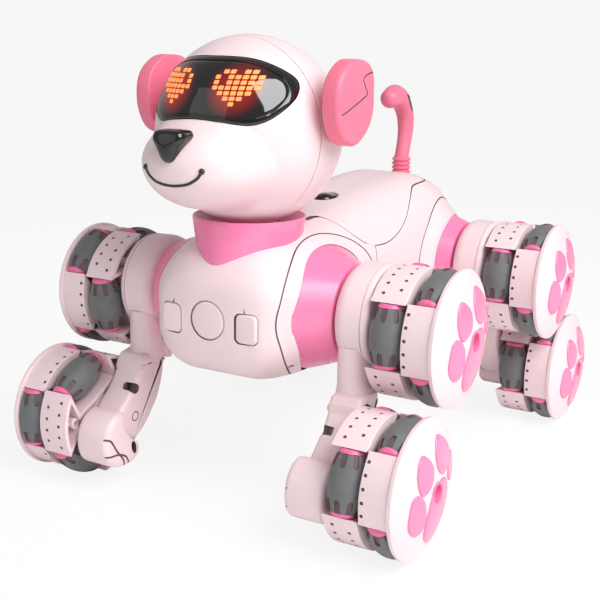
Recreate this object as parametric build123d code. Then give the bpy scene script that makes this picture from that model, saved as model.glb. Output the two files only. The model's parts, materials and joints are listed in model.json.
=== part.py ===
from build123d import *
import os
from math import sqrt

# Robot dog toy: a hollow body on four swinging legs. Each leg carries two powered omni wheels, and the
# head, the ears and the tail turn. Millimetres. +Z is up, the dog faces -Y, its left side is +X.
# The origin is on the ground, under the middle of the overall box.

os.makedirs("parts", exist_ok=True)

# ---- Driving dimensions -------------------------------------------------------------------------
wheel_dia = 60.0
row_width = 16.4            # one row of rollers, along the axle
dome_rise = 6.6             # how far the wheel cap bulges
cap_wall = 1.4
pad_height = 0.7            # paw pads stand this far out of the cap
frame_wall = 1.8            # walls of the wheel's frame
frame_drop = 1.2            # frame rim below the rollers' circle
frame_core_step = 2.4       # the frame's round core below the floor under a roller
roller_length = 27.2
roller_mid_dia = 16.2
roller_flange = 1.6
roller_bore = 6.2
roller_pin_dia = 2.6
roller_end_gap = 0.4
roller_gap = 0.9            # from the roller's belly to the frame
motor_shaft_dia = 3.0
axle_dia = 6.0
cap_recess_dia = 8.6
screw_dia = 3.0

running_gap = 0.05          # radial, shaft in a hole
part_gap = 0.3              # between pieces on different bodies
fit_gap = 0.1               # between fixed pieces

torso_half_width = 37.0
waist_half_width = 35.5
torso_wall = 2.2
chest_y = -104.3
rump_y = 104.7
belly_z = 54.0
back_z = 137.0
flank_seam_y = -13.0
cover_rear_y = 73.0

hip_front_y = -60.0
hip_rear_y = 70.0
hip_z = 90.0
sleeve_inset = 7.0          # sleeves start this far inside the body's side
sleeve_length = 18.0
sleeve_root_dia = 52.0
sleeve_tip_dia = 42.0
sleeve_wall = 2.0
hip_shaft_dia = 10.0
hip_shaft_length = 9.0

leg_width = 17.5
leg_wall = 2.0
drum_dia = 48.0
drum_nose_dia = 34.0
drum_nose_depth = 6.5
wheel_side_gap = 1.5
upper_axle_drop = 4.6       # upper axle below the hip axis
leg_reach = 33.7            # lower axle ahead of the hip axis
column_dia = 15.6
column_y = -15.0
column_top_z = 76.0
knee_z = 57.0
knee_cap_height = 3.7
knee_front_y = -25.4
thigh_inset = 0.5           # the thigh's inside face, from the leg's
foot_proud = 1.5            # the boot's inside face stands out of the leg's
motor_size = (11.0, 14.0, 12.0)
motor_back = 1.2            # the motor's middle behind its shaft
motor_lift = 1.5            # the motor's middle above its shaft

head_y = -71.4
head_radius = 41.2
head_sink = 4.2             # the head's lowest point below the collar's rim
head_wall = 2.2
head_split_y = -79.0
muzzle_y = -103.4
muzzle_drop = 11.0          # below the head's centre
muzzle_radius = 27.0
muzzle_half_height = 19.5
visor_proud = 0.6
visor_depth = 1.4
visor_half_width = 34.3
visor_rise = 17.3           # above the head's centre
visor_half_height = 14.7
nose_tip_y = -132.8
nose_width = 15.0
nose_height = 13.5
nose_corner = 3.4
nose_rise = 8.6             # above the muzzle's centre
eye_x = 14.7
display_y = -85.0
display_rise = 17.0         # above the head's centre
display_size = (43.0, 17.0)
display_cell = 14.0
neck_post_dia = 12.0
collar_top_dia = 51.0
collar_base_dia = 42.0
collar_base_z = 112.0
collar_top_z = 131.0

ear_thick = 8.0
ear_gap = 2.8               # from the head's widest point to the ear
ear_length = 34.0
ear_depth = 33.0
ear_y = -69.5
ear_rise = 14.0             # above the head's centre
ear_pin_dia = 8.0
ear_pin_length = 14.0

tail_y = 87.0
tail_seat_z = 131.0
tail_stem_dia = 8.0
tail_base_dia = 11.4
tail_pin_dia = 7.0
tail_pin_length = 8.0
rib_count = 4
rib_pitch = 2.6

chest_button_x = 19.3
chest_button_z = 87.6
chest_button_width = 10.4
chest_button_height = 13.0
chest_button_proud = 2.0
chest_button_depth = 7.5
chest_disc_dia = 17.0
chest_disc_thick = 2.6
back_button_y = -2.8
back_button_z = 129.4
back_button_dia = 14.0
back_button_rise = 3.0
back_button_depth = 6.0

door_width = 34.0
door_length = 50.0
door_y = 17.0
door_thick = 2.8
battery_size = (30.0, 44.0, 18.0)
board_size = (44.0, 66.0, 1.6)
board_post = 4.0

# How far each wheel has turned at rest: the angle of an inner roller above the forward direction.
wheel_turn = {
    "front_left_upper": 8.0,
    "front_left_lower": 15.0,
    "front_right_upper": -10.0,
    "front_right_lower": 63.0,
    "rear_left_upper": 12.0,
    "rear_left_lower": 6.0,
    "rear_right_upper": 20.0,
    "rear_right_lower": 40.0,
}

# ---- Derived dimensions -------------------------------------------------------------------------
sleeve_root_x = torso_half_width - sleeve_inset
leg_in_x = sleeve_root_x + sleeve_length + part_gap
leg_out_x = leg_in_x + leg_width
wheel_in_x = leg_out_x + wheel_side_gap
wheel_radius = wheel_dia / 2
roller_radius = roller_mid_dia / 2
roller_orbit = wheel_radius - roller_radius
frame_radius = wheel_radius - frame_drop
window_floor = roller_orbit - roller_radius - roller_gap
frame_core_radius = window_floor - frame_core_step
rim_s = 2 * row_width - 1.3         # the cap's rim, along the axle from the wheel's inner face
row_relief = 0.3                    # each frame stops short of the other row's rollers
axle_low_z = wheel_radius
axle_high_z = hip_z - upper_axle_drop
motor_face_x = leg_out_x - leg_wall - 1.5
head_z = collar_top_z - head_sink + head_radius
muzzle_z = head_z - muzzle_drop
nose_z = muzzle_z + nose_rise
visor_z = head_z + visor_rise
display_z = head_z + display_rise
ear_z = head_z + ear_rise
ear_inner_x = head_radius + ear_gap


def save(name, *solids):
    """Write one sub-part to parts/NAME.step."""
    shape = solids[0] if len(solids) == 1 else Compound(children=list(solids))
    shape.label = name
    export_step(shape, f"parts/{name}.step")


def mirrored(shapes):
    """The same shapes on the dog's right side."""
    return [mirror(shape, about=Plane.YZ) for shape in shapes]


def rod(radius, x_from, x_to, y, z):
    """A cylinder along X."""
    place = Plane(origin=(min(x_from, x_to), y, z), z_dir=(1, 0, 0))
    return extrude(place * Circle(radius), abs(x_to - x_from))


# ---- Omni wheel, built along +Z: s = 0 is its inner face, X points to the rear and Y up ---------
def roller_windows(grow):
    """The three openings of one row, each grown by a wall."""
    floor = window_floor - grow
    height = roller_length + 2 * (roller_end_gap + grow)
    window = Pos(floor + wheel_dia / 2, 0) * Rectangle(wheel_dia, height)
    return window + Rot(0, 0, 120) * window + Rot(0, 0, 240) * window


def frame_outline():
    return Circle(frame_radius) - roller_windows(0)


def frame_hollow():
    inner = Circle(frame_radius - frame_wall) - roller_windows(frame_wall)
    return inner - Circle(frame_core_radius)


def dome(drop, from_s):
    """The solid under the cap's outer face, lowered by drop."""
    rim = rim_s - drop
    top = rim + dome_rise
    middle = (wheel_radius / 2, rim + dome_rise * 0.75)
    edge = ThreePointArc((wheel_radius, rim), middle, (0, top))
    sides = Polyline((0, top), (0, from_s), (wheel_radius, from_s), (wheel_radius, rim))
    return revolve(Plane.XZ * make_face(edge + sides), Axis.Z)


def roller_places(row_s):
    """Where the three rollers of a row sit: each one's own X runs along its pin."""
    spot = Plane(origin=(roller_orbit, 0, row_s), x_dir=(0, 1, 0), z_dir=(0, 0, 1)).location
    return [Rot(0, 0, turn) * spot for turn in (0, 120, 240)]


def roller():
    """Rubber barrel and the flanged core that it turns on."""
    half = roller_length / 2 - roller_flange
    end = sqrt(wheel_radius ** 2 - half ** 2) - roller_orbit
    arc = ThreePointArc((-half, end), (0, roller_radius), (half, end))
    bore = roller_bore / 2
    barrel = make_face(arc + Polyline((half, end), (half, bore), (-half, bore), (-half, end)))
    tip = half + roller_flange
    pin = roller_pin_dia / 2
    pin_tip = tip + roller_end_gap + frame_wall - fit_gap
    flange = end - 0.3
    core = Polyline(
        (-pin_tip, 0), (-pin_tip, pin), (-tip, pin), (-tip, flange - 0.5), (-half, flange), (-half, bore),
        (half, bore), (half, flange), (tip, flange - 0.5), (tip, pin), (pin_tip, pin), (pin_tip, 0),
        close=True,
    )
    return revolve(barrel, Axis.X), revolve(make_face(core), Axis.X)


def pin_holes(row_s):
    length = roller_length + 2 * (roller_end_gap + frame_wall) + 2
    hole = Cylinder(roller_pin_dia / 2 + running_gap, length, rotation=(0, 90, 0))
    return [place * hole for place in roller_places(row_s)]


def wheel_hub():
    """Inner frame: three hollow blocks, the axle sleeve and three screw bosses."""
    depth = row_width - row_relief
    body = extrude(frame_outline(), depth) - extrude(frame_hollow(), depth - frame_wall)
    body += extrude(Circle(frame_core_radius), row_width)
    body += Pos(0, 0, -wheel_side_gap - leg_wall - 1) * extrude(
        Circle(axle_dia / 2), wheel_side_gap + leg_wall + 1)
    for turn in (60, 180, 300):
        boss = Circle(2.8) - Circle(1.2)
        body += Rot(0, 0, turn) * Pos(frame_radius * 0.7, 0, 1.5) * extrude(boss, depth - 2.5)
    body -= Pos(0, 0, -10) * extrude(Circle(motor_shaft_dia / 2 + running_gap), 15)
    for hole in pin_holes(row_width / 2):
        body -= hole
    return body


def wheel_cap():
    """Outer frame with its domed cap, turned 60 degrees from the inner frame."""
    start = row_width + row_relief
    outer = dome(0, row_width)
    inner = dome(cap_wall, row_width)
    reach = rim_s + dome_rise - start
    blocks = Pos(0, 0, start) * extrude(frame_outline(), reach)
    hollow = Pos(0, 0, start) * extrude(frame_hollow(), reach)
    core = Pos(0, 0, row_width) * extrude(Circle(frame_core_radius), reach)
    body = ((blocks + core) & outer) - (hollow & inner)
    body += outer - inner
    for hole in pin_holes(row_width * 1.5):
        body -= hole
    body -= Pos(0, 0, rim_s + dome_rise - 9) * extrude(Circle(cap_recess_dia / 2), 12)
    body -= Pos(0, 0, row_width) * extrude(Circle(screw_dia / 2), 20)
    return body


def paw_pads():
    """One large pad and four toes, lying on the cap. Angles run from straight ahead, upwards."""
    skin = dome(-pad_height, rim_s - 5) - dome(0, rim_s - 6)
    outlines = [Pos(4.0, -13.2) * Rot(0, 0, -12) * Ellipse(7.6, 10.4)]
    toe_orbit = 19.0
    for angle, long_half, short_half in ((-23, 6.2, 4.4), (28, 6.2, 4.6), (82, 6.2, 4.6), (136, 6.2, 4.4)):
        toe = Rot(0, 0, 180 - angle) * Pos(toe_orbit, 0) * Ellipse(long_half, short_half)
        outlines.append(toe)
    recess = extrude(Circle(cap_recess_dia / 2 + 0.2), 60)
    return [(extrude(outline, 60) & skin) - recess for outline in outlines]


def omni_wheel():
    """Hub, cap and rollers of a wheel that hasn't turned."""
    barrel, core = roller()
    hub = wheel_hub()
    rollers = [place * barrel for place in roller_places(row_width / 2)]
    cores = [place * core for place in roller_places(row_width / 2)]
    half_turn = Rot(0, 0, 60)
    cap = half_turn * wheel_cap()
    for place in roller_places(row_width * 1.5):
        rollers.append(half_turn * place * barrel)
        cores.append(half_turn * place * core)
    return hub, cap, rollers + cores


def save_wheel(name, right, axle_y, axle_z, hub, cap, rollers, pads):
    """Place a wheel on its axle. The paw pads stay upright, whatever the rollers' turn."""
    seat = Plane(origin=(wheel_in_x, axle_y, axle_z), x_dir=(0, 1, 0), z_dir=(1, 0, 0)).location
    turn = Rot(0, 0, 180 - wheel_turn[name])
    moved_hub = [seat * turn * hub]
    moved_cap = [seat * turn * cap] + [seat * pad for pad in pads]
    moved_rollers = [seat * turn * piece for piece in rollers]
    if right:
        moved_hub, moved_cap = mirrored(moved_hub), mirrored(moved_cap)
        moved_rollers = mirrored(moved_rollers)
    save(f"{name}_wheel_hub", *moved_hub)
    save(f"{name}_wheel_cap", *moved_cap)
    save(f"{name}_wheel_rollers", *moved_rollers)


# ---- Leg, built for the front left with the hip axis at y = 0 -----------------------------------
def leg_upper():
    """Hip drum with its shaft, the round column, the knee cap and the lug behind it."""
    nose = drum_nose_dia / 2
    drum_radius = drum_dia / 2
    curve = ThreePointArc(
        (leg_in_x, nose), (leg_in_x + drum_nose_depth * 0.3, nose + (drum_radius - nose) * 0.72),
        (leg_in_x + drum_nose_depth, drum_radius))
    flat = Polyline((leg_in_x + drum_nose_depth, drum_radius), (leg_out_x, drum_radius - 1),
                    (leg_out_x, 0), (leg_in_x, 0), (leg_in_x, nose))
    drum = Pos(0, 0, hip_z) * revolve(make_face(curve + flat), Axis.X)
    middle_x = (leg_in_x + leg_out_x) / 2
    column = Pos(middle_x, column_y, knee_z) * Cylinder(
        column_dia / 2, column_top_z - knee_z, align=(Align.CENTER, Align.CENTER, Align.MIN))
    knee = side_block(Polyline(
        (-8.9, knee_z), (-8.3, knee_z + knee_cap_height), (-19.4, knee_z + knee_cap_height),
        (knee_front_y, knee_z), close=True), thigh_inset, leg_width)
    lug = side_block(Polyline(
        (-10.0, 58.0), (-10.0, 63.0), (-6.0, 64.0), (0.8, 59.5), (-1.5, 53.0), (-8.0, 58.0), close=True),
        3.5, 12.0)
    body = drum + column + knee + lug
    body += rod(hip_shaft_dia / 2, leg_in_x - hip_shaft_length, leg_in_x, 0, hip_z)
    hollow = rod(drum_radius - leg_wall - 1.5, leg_in_x + leg_wall + 1, leg_out_x - leg_wall, 0, hip_z)
    axle_hole = rod(axle_dia / 2 + running_gap, leg_out_x - 5, leg_out_x + 1, 0, axle_high_z)
    return body - hollow - axle_hole


def side_block(outline, start, stop):
    """A side outline run across the leg, between two distances from its inside face."""
    place = Plane(origin=(leg_in_x + start, 0, 0), x_dir=(0, 1, 0), z_dir=(1, 0, 0))
    return extrude(place * make_face(outline), stop - start)


def thigh_block(inset):
    """The thigh's plain solid, from its flat knee down round the lower axle."""
    z = axle_low_z
    curve = Spline(
        (-8.9, knee_z), (-10.3, z + 16.0), (-14.1, z + 6.8), (-19.2, z + 0.3), (-26.3, z - 6.7),
        (-33.5, z - 10.0), (-38.5, z - 7.4), (-43.2, z - 2.6), (-45.5, z + 2.2), (-43.9, z + 5.8),
        (-38.4, z + 10.9), (-32.4, z + 16.6), (-28.4, z + 22.0), (knee_front_y, knee_z))
    return side_block(curve + Line((knee_front_y, knee_z), (-8.9, knee_z)), inset, leg_width)


def leg_thigh():
    """Thin shell round the lower wheel's gear motor."""
    block = thigh_block(thigh_inset)
    y, z = -leg_reach, axle_low_z
    x_size, y_size, z_size = motor_size
    room_x = leg_out_x - leg_wall - (motor_face_x - x_size - 0.5)
    room = Box(room_x, y_size + 1, z_size + 1)
    hollow = Pos(leg_out_x - leg_wall - room_x / 2, y + motor_back, z + motor_lift) * room
    axle_hole = rod(axle_dia / 2 + running_gap, leg_out_x - 5, leg_out_x + 1, y, z)
    side_edges = block.edges().filter_by(Plane.YZ).filter_by(GeomType.BSPLINE)
    return fillet(side_edges, 3) - hollow - axle_hole


def leg_foot():
    """Boot in front of and below the thigh, its toe pointing forward."""
    z = axle_low_z
    curve = Spline(
        (-34.0, z - 9.5), (-33.6, z - 14.5), (-37.6, z - 18.2), (-43.5, z - 19.0), (-50.5, z - 17.7),
        (-56.0, z - 14.0), (-58.2, z - 7.0), (-57.0, z + 0.5), (-52.5, z + 6.0), (-46.0, z + 8.2),
        (-40.0, z + 3.0), (-36.0, z - 4.0), periodic=True)
    boot = side_block(curve, -foot_proud, leg_width)
    boot = fillet(boot.edges().filter_by(Plane.YZ), 3)
    return boot - thigh_block(-foot_proud)


def gear_motor(y, z):
    """Motor box with its output shaft, seated on the leg's outer wall."""
    x_size, y_size, z_size = motor_size
    box = Pos(motor_face_x - x_size / 2, y + motor_back, z + motor_lift) * Box(x_size, y_size, z_size)
    lug = rod(axle_dia / 2 + 1.2, motor_face_x, leg_out_x - leg_wall, y, z)
    lug -= rod(axle_dia / 2 + 2 * fit_gap, motor_face_x + 0.2, leg_out_x, y, z)
    return box + lug + rod(motor_shaft_dia / 2, motor_face_x, wheel_in_x + 3, y, z)


def save_leg(name, fore, right):
    """One leg: the rear ones face backwards, and the right ones are mirrored."""
    pieces = [leg_upper(), leg_thigh(), leg_foot(),
              gear_motor(0, axle_high_z), gear_motor(-leg_reach, axle_low_z)]
    if fore:
        pieces = [Pos(0, hip_front_y, 0) * piece for piece in pieces]
    else:
        pieces = [Pos(0, hip_rear_y, 0) * mirror(piece, about=Plane.XZ) for piece in pieces]
    if right:
        pieces = mirrored(pieces)
    upper, thigh, foot, high_motor, low_motor = pieces
    save(f"{name}_leg_upper", upper)
    save(f"{name}_leg_thigh", thigh)
    save(f"{name}_foot", foot)
    save(f"{name}_wheel_motors", high_motor, low_motor)


# ---- Body ---------------------------------------------------------------------------------------
def torso(inset):
    """Body outline as a loft of rounded sections, each pulled in by a wall."""
    stations = (
        (chest_y, 14.0, 76.5, 101.5),
        (chest_y + 2.5, 26.5, 69.0, 109.0),
        (chest_y + 9, 32.5, 63.5, 116.0),
        (chest_y + 24, 36.0, 59.0, 122.0),
        (hip_front_y, torso_half_width, 56.5, 126.0),
        (flank_seam_y, waist_half_width, belly_z + 0.4, back_z - 7.5),
        (25.0, waist_half_width, belly_z, back_z - 2.0),
        (hip_rear_y - 10, torso_half_width, belly_z + 1.0, back_z),
        (hip_rear_y + 13, 34.0, belly_z + 4.0, back_z - 4.0),
        (rump_y - 8, 25.0, belly_z + 13.0, back_z - 15.0),
        (rump_y, 11.0, belly_z + 28.0, back_z - 31.0),
    )
    sections = []
    for number, (y, half_width, low, high) in enumerate(stations):
        if number == 0:
            y += inset
        if number == len(stations) - 1:
            y -= inset
        width = 2 * (half_width - inset)
        height = high - low - 2 * inset
        corner = 0.74 * min(width, height) / 2
        place = Plane(origin=(0, y, (low + high) / 2), x_dir=(1, 0, 0), z_dir=(0, -1, 0))
        sections.append(place * RectangleRounded(width, height, corner))
    return loft(sections)


def cover_region():
    """Everything above the back cover's wavy edge."""
    wave = Spline(
        (-77.0, 121.0), (-55.0, 124.6), (-40.0, 124.0), (-28.0, 119.0), (-19.0, 113.5), (-10.0, 111.5),
        (-1.0, 113.0), (11.0, 117.5), (21.0, 122.5), (33.0, 128.0), (50.0, 131.5), (cover_rear_y, 132.5))
    over = Polyline((cover_rear_y, 132.5), (cover_rear_y, 160), (-77.0, 160), (-77.0, 121.0))
    place = Plane(origin=(-60, 0, 0), x_dir=(0, 1, 0), z_dir=(1, 0, 0))
    return extrude(place * make_face(wave + over), 120)


def collar_cone(grow):
    """The collar's outside, wider at the top."""
    return loft([
        Pos(0, head_y, collar_base_z) * Circle(collar_base_dia / 2 + grow),
        Pos(0, head_y, collar_top_z) * Circle(collar_top_dia / 2 + grow),
    ])


def sleeve_profile(grow):
    """Half section of a hip sleeve's outside, for turning about X."""
    tip = sleeve_root_x + sleeve_length + (grow and 5)
    slope = (sleeve_root_dia - sleeve_tip_dia) / 2 / sleeve_length
    root_r = sleeve_root_dia / 2 + grow
    tip_r = root_r - slope * (tip - sleeve_root_x)
    start = sleeve_root_x - (grow and 6)
    start_r = root_r + slope * (sleeve_root_x - start)
    return make_face(Polyline((start, 0), (start, start_r), (tip, tip_r), (tip, 0), close=True))


def hip_places():
    return [(0, hip_front_y, hip_z), (0, hip_rear_y, hip_z)]


def hip_sleeve():
    """Cone between the body and a leg, with the bearing for the hip shaft in its end wall."""
    cone = revolve(sleeve_profile(0), Axis.X)
    slope = (sleeve_root_dia - sleeve_tip_dia) / 2 / sleeve_length
    end = sleeve_root_x + sleeve_length - sleeve_wall
    root_r = sleeve_root_dia / 2 - sleeve_wall
    end_r = root_r - slope * (end - sleeve_root_x)
    inside = Polyline((sleeve_root_x, 0), (sleeve_root_x, root_r), (end, end_r), (end, 0), close=True)
    bearing = rod(hip_shaft_dia / 2 + 3, end - 5, end + 0.5, 0, 0)
    bore = rod(hip_shaft_dia / 2 + running_gap, sleeve_root_x, leg_in_x, 0, 0)
    return cone - revolve(make_face(inside), Axis.X) + bearing - bore


def chest_button(grow, front_y, depth):
    """A rounded square key standing across the chest wall."""
    width = chest_button_width + 2 * grow
    height = chest_button_height + 2 * grow
    place = Plane(origin=(chest_button_x, front_y, chest_button_z), x_dir=(1, 0, 0), z_dir=(0, -1, 0))
    return extrude(place * RectangleRounded(width, height, 2.6), -depth)


def door_box(grow, thick):
    low = belly_z - 0.4
    place = Pos(0, door_y, low + thick / 2)
    return place * Box(door_width + 2 * grow, door_length + 2 * grow, thick)


def build_body():
    shell = torso(0) - torso(torso_wall)
    cover = cover_region()
    for place in hip_places():
        hole = Pos(*place) * revolve(sleeve_profile(fit_gap), Axis.X)
        shell -= hole
        shell -= mirror(hole, about=Plane.YZ)
    shell -= collar_cone(fit_gap)
    shell -= door_box(fit_gap, door_thick + 4)

    front = Pos(0, flank_seam_y - 100, 100) * Box(200, 200, 200)
    lower = shell - cover
    chest = lower & front
    rear = lower - front
    key_front = chest_y - chest_button_proud + 2.2
    hole = chest_button(part_gap, key_front - 5, chest_button_depth + 10)
    chest = chest - hole - mirror(hole, about=Plane.YZ)
    disc_place = Plane(origin=(0, chest_y - 0.2, 89.0), z_dir=(0, 1, 0))
    chest -= disc_place * Cylinder(chest_disc_dia / 2 + fit_gap, 12)
    save("chest_shell", chest)

    seat = Pos(0, tail_y, tail_seat_z)
    rear -= seat * extrude(Circle(tail_base_dia / 2 + part_gap), 20)
    socket = extrude(Circle(tail_pin_dia / 2 + 2.5), -tail_pin_length)
    rear += seat * socket
    rear -= seat * extrude(Circle(tail_pin_dia / 2 + running_gap), -20)
    save("rear_shell", rear)

    top = shell & cover
    top -= Pos(0, back_button_y, back_button_z) * Cylinder(back_button_dia / 2 + part_gap, 40)
    save("back_cover", top)

    button = Pos(0, back_button_y, back_button_z) * (
        extrude(Circle(back_button_dia / 2), -back_button_depth)
        + (Pos(0, 0, back_button_rise - 10.0) * Sphere(10.0)
           & extrude(Circle(back_button_dia / 2), back_button_rise)))
    save("back_button", button)

    key = chest_button(0, key_front, chest_button_depth)
    key = fillet(key.faces().sort_by(Axis.Y)[0].edges(), 1.2)
    save("chest_button_left", key)
    save("chest_button_right", mirror(key, about=Plane.YZ))
    disc = extrude(disc_place * Circle(chest_disc_dia / 2), chest_disc_thick)
    save("chest_disc", disc)

    sleeves = [Pos(*place) * hip_sleeve() for place in hip_places()]
    save("hip_sleeves", *(sleeves + mirrored(sleeves)))

    door = door_box(0, door_thick)
    save("battery_door", fillet(door.edges().filter_by(Axis.Z), 4))
    pack_z = belly_z - 0.4 + door_thick
    pack = Pos(0, door_y, pack_z + battery_size[2] / 2) * Box(*battery_size)
    save("battery_pack", fillet(pack.edges().filter_by(Axis.Y), 3))
    board_z = pack_z + battery_size[2] + board_post
    board = Pos(0, door_y, board_z + board_size[2] / 2) * Box(*board_size)
    board += Pos(0, door_y, board_z - board_post / 2) * Box(20, 30, board_post)
    board += Pos(6, door_y - 14, board_z + board_size[2] + 1) * Box(12, 12, 2)
    board += Pos(-10, door_y + 12, board_z + board_size[2] + 3) * Box(9, 14, 6)
    save("circuit_board", board)


# ---- Head ---------------------------------------------------------------------------------------
def skull(grow):
    return Pos(0, head_y, head_z) * Sphere(head_radius + grow)


def muzzle(grow):
    """Flattened ball that stands out of the lower face."""
    radius = muzzle_radius + grow
    return Pos(0, muzzle_y, muzzle_z) * scale(Sphere(1), by=(radius, radius, muzzle_half_height + grow))


def visor_prism(grow):
    """Front outline of the goggle-shaped visor, run through the face."""
    wide, high = visor_half_width + grow, visor_half_height + grow
    right = [(0, 1.0), (0.5, 0.92), (0.87, 0.49), (1.0, -0.12), (0.9, -0.73), (0.69, -1.0), (0.32, -0.82)]
    left = [(-across, up) for across, up in reversed(right[1:])]
    points = [(across * wide, visor_z + up * high) for across, up in right + [(0, -0.67)] + left]
    place = Plane(origin=(0, head_split_y, 0), x_dir=(1, 0, 0), z_dir=(0, -1, 0))
    return extrude(place * make_face(Spline(*points, periodic=True)), 60)


def nose_block(grow, back_y):
    """Rounded triangle, wide side up."""
    half_w, half_h = nose_width / 2 - nose_corner, nose_height / 2 - nose_corner
    corners = Polyline((-half_w, half_h), (half_w, half_h), (0, -half_h), close=True)
    outline = offset(make_face(corners), nose_corner + grow)
    place = Plane(origin=(0, nose_tip_y, nose_z), x_dir=(1, 0, 0), z_dir=(0, -1, 0))
    return extrude(place * outline, nose_tip_y - back_y)


def build_head():
    outside = skull(0) + muzzle(0)
    inside = skull(-head_wall) + muzzle(-head_wall)
    shell = outside - inside
    post = extrude(Pos(0, head_y, 120) * Circle(neck_post_dia / 2 + 3.2), 24)
    shell += post & skull(0)
    shell -= extrude(Pos(0, head_y, 100) * Circle(neck_post_dia / 2 + running_gap), 60)
    for side in (1, -1):
        pin_end = ear_inner_x - ear_pin_length
        boss = rod(ear_pin_dia / 2 + 2.5, side * (pin_end - 4), side * head_radius, ear_y, ear_z) & skull(0)
        hole = rod(ear_pin_dia / 2 + running_gap, side * (pin_end - 10), side * ear_inner_x, ear_y, ear_z)
        shell = shell + boss - hole
    visor_room = (skull(5) - skull(-visor_depth)) & visor_prism(fit_gap)
    nose_back = muzzle_y - 22
    front = Pos(0, head_split_y - 100, head_z) * Box(200, 200, 200)
    face = (shell & front) - (visor_room - muzzle(0)) - nose_block(fit_gap, nose_back)
    for side in (1, -1):
        lug = Pos(side * eye_x, display_y, display_z + display_size[1] / 2 + fit_gap + 10) * Box(3, 4, 20)
        face += lug & (skull(-head_wall / 2))
    save("head_front_shell", face)
    save("head_rear_shell", shell - front)

    visor = (skull(visor_proud) - skull(-visor_depth)) & visor_prism(0)
    save("visor", visor - muzzle(fit_gap))
    nose = nose_block(0, nose_back)
    save("nose", fillet(nose.faces().sort_by(Axis.Y)[0].edges(), 2.6))

    board_width, board_height = display_size
    display = Pos(0, display_y, display_z) * Box(board_width, 1.6, board_height)
    for side in (1, -1):
        matrix = Box(display_cell, 3, display_cell)
        display += Pos(side * eye_x, display_y - 2.3, display_z + 1.5) * matrix
    save("eye_display", display)

    save("neck_collar", build_collar())
    ear = build_ear()
    save("ear_left", ear)
    save("ear_right", mirror(ear, about=Plane.YZ))


def build_collar():
    """Cup under the head with the post that the head turns on."""
    cup = collar_cone(0) - (skull(0.8) + muzzle(0.8))
    post = extrude(Pos(0, head_y, collar_base_z + 1) * Circle(neck_post_dia / 2), 31)
    return cup + post


def build_ear():
    """Flat flap with a straight rear edge, and the pin that it swings on."""
    place = Plane(origin=(ear_inner_x, ear_y, ear_z), x_dir=(0, 1, 0), z_dir=(1, 0, 0))
    half_d, half_l = ear_depth / 2, ear_length / 2
    curve = Spline(
        (half_d, half_l - 8), (half_d - 8, half_l), (-2, half_l + 0.5), (-half_d + 2.5, half_l - 7),
        (-half_d, 0), (-half_d + 5, -half_l + 3), (0, -half_l - 1), (half_d - 6, -half_l + 4),
        (half_d, -3))
    outline = make_face(curve + Line((half_d, -3), (half_d, half_l - 8)))
    flap = extrude(place * outline, ear_thick)
    flap = fillet(flap.faces().sort_by(Axis.X)[-1].edges(), 2.5)
    return flap + rod(ear_pin_dia / 2, ear_inner_x - ear_pin_length, ear_inner_x, ear_y, ear_z)


# ---- Tail ---------------------------------------------------------------------------------------
def build_tail():
    """Ribbed root on a pin, and a stem that curls forward into a soft bulb."""
    stem = tail_stem_dia / 2
    spine = [
        (0, 0.0, stem + 0.4, 0), (0.5, 12.0, stem, 2), (2.6, 20.0, stem, 10), (4.0, 27.0, stem + 0.4, 2),
        (2.6, 35.5, stem + 0.9, -26), (-3.5, 43.0, stem + 1.5, -60), (-11.5, 46.2, stem + 2.0, -88),
        (-18.0, 44.8, stem + 1.2, -112),
    ]
    sections = []
    for y, z, radius, lean in spine:
        place = Pos(0, tail_y + y, tail_seat_z + z) * Rot(-lean, 0, 0)
        sections.append(place * Circle(radius))
    tail = loft(sections)
    seat = Pos(0, tail_y, tail_seat_z)
    tail += seat * extrude(Circle(tail_base_dia / 2), 2)
    for number in range(rib_count):
        rib = Pos(0, 0, 3.4 + number * rib_pitch) * Cylinder(stem + 1.3, rib_pitch * 0.55)
        tail += seat * rib
    tail += seat * extrude(Circle(tail_pin_dia / 2), -tail_pin_length)
    return tail


def main():
    hub, cap, rollers = omni_wheel()
    pads = paw_pads()
    for end in ("front", "rear"):
        fore = end == "front"
        for side in ("left", "right"):
            right = side == "right"
            name = f"{end}_{side}"
            save_leg(name, fore, right)
            hip_y = hip_front_y if fore else hip_rear_y
            low_y = hip_y - leg_reach if fore else hip_y + leg_reach
            save_wheel(f"{name}_upper", right, hip_y, axle_high_z, hub, cap, rollers, pads)
            save_wheel(f"{name}_lower", right, low_y, axle_low_z, hub, cap, rollers, pads)
    build_body()
    build_head()
    save("tail", build_tail())


main()
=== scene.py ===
"""Outer surfaces and finishes of a robot dog toy with eight omni wheels."""
import json
from math import acos, asin, cos, hypot, pi, radians, sin, sqrt, tau

import bmesh
import bpy
from bpy.props import FloatProperty, IntProperty, PointerProperty, StringProperty
from mathutils import Matrix, Vector


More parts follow.
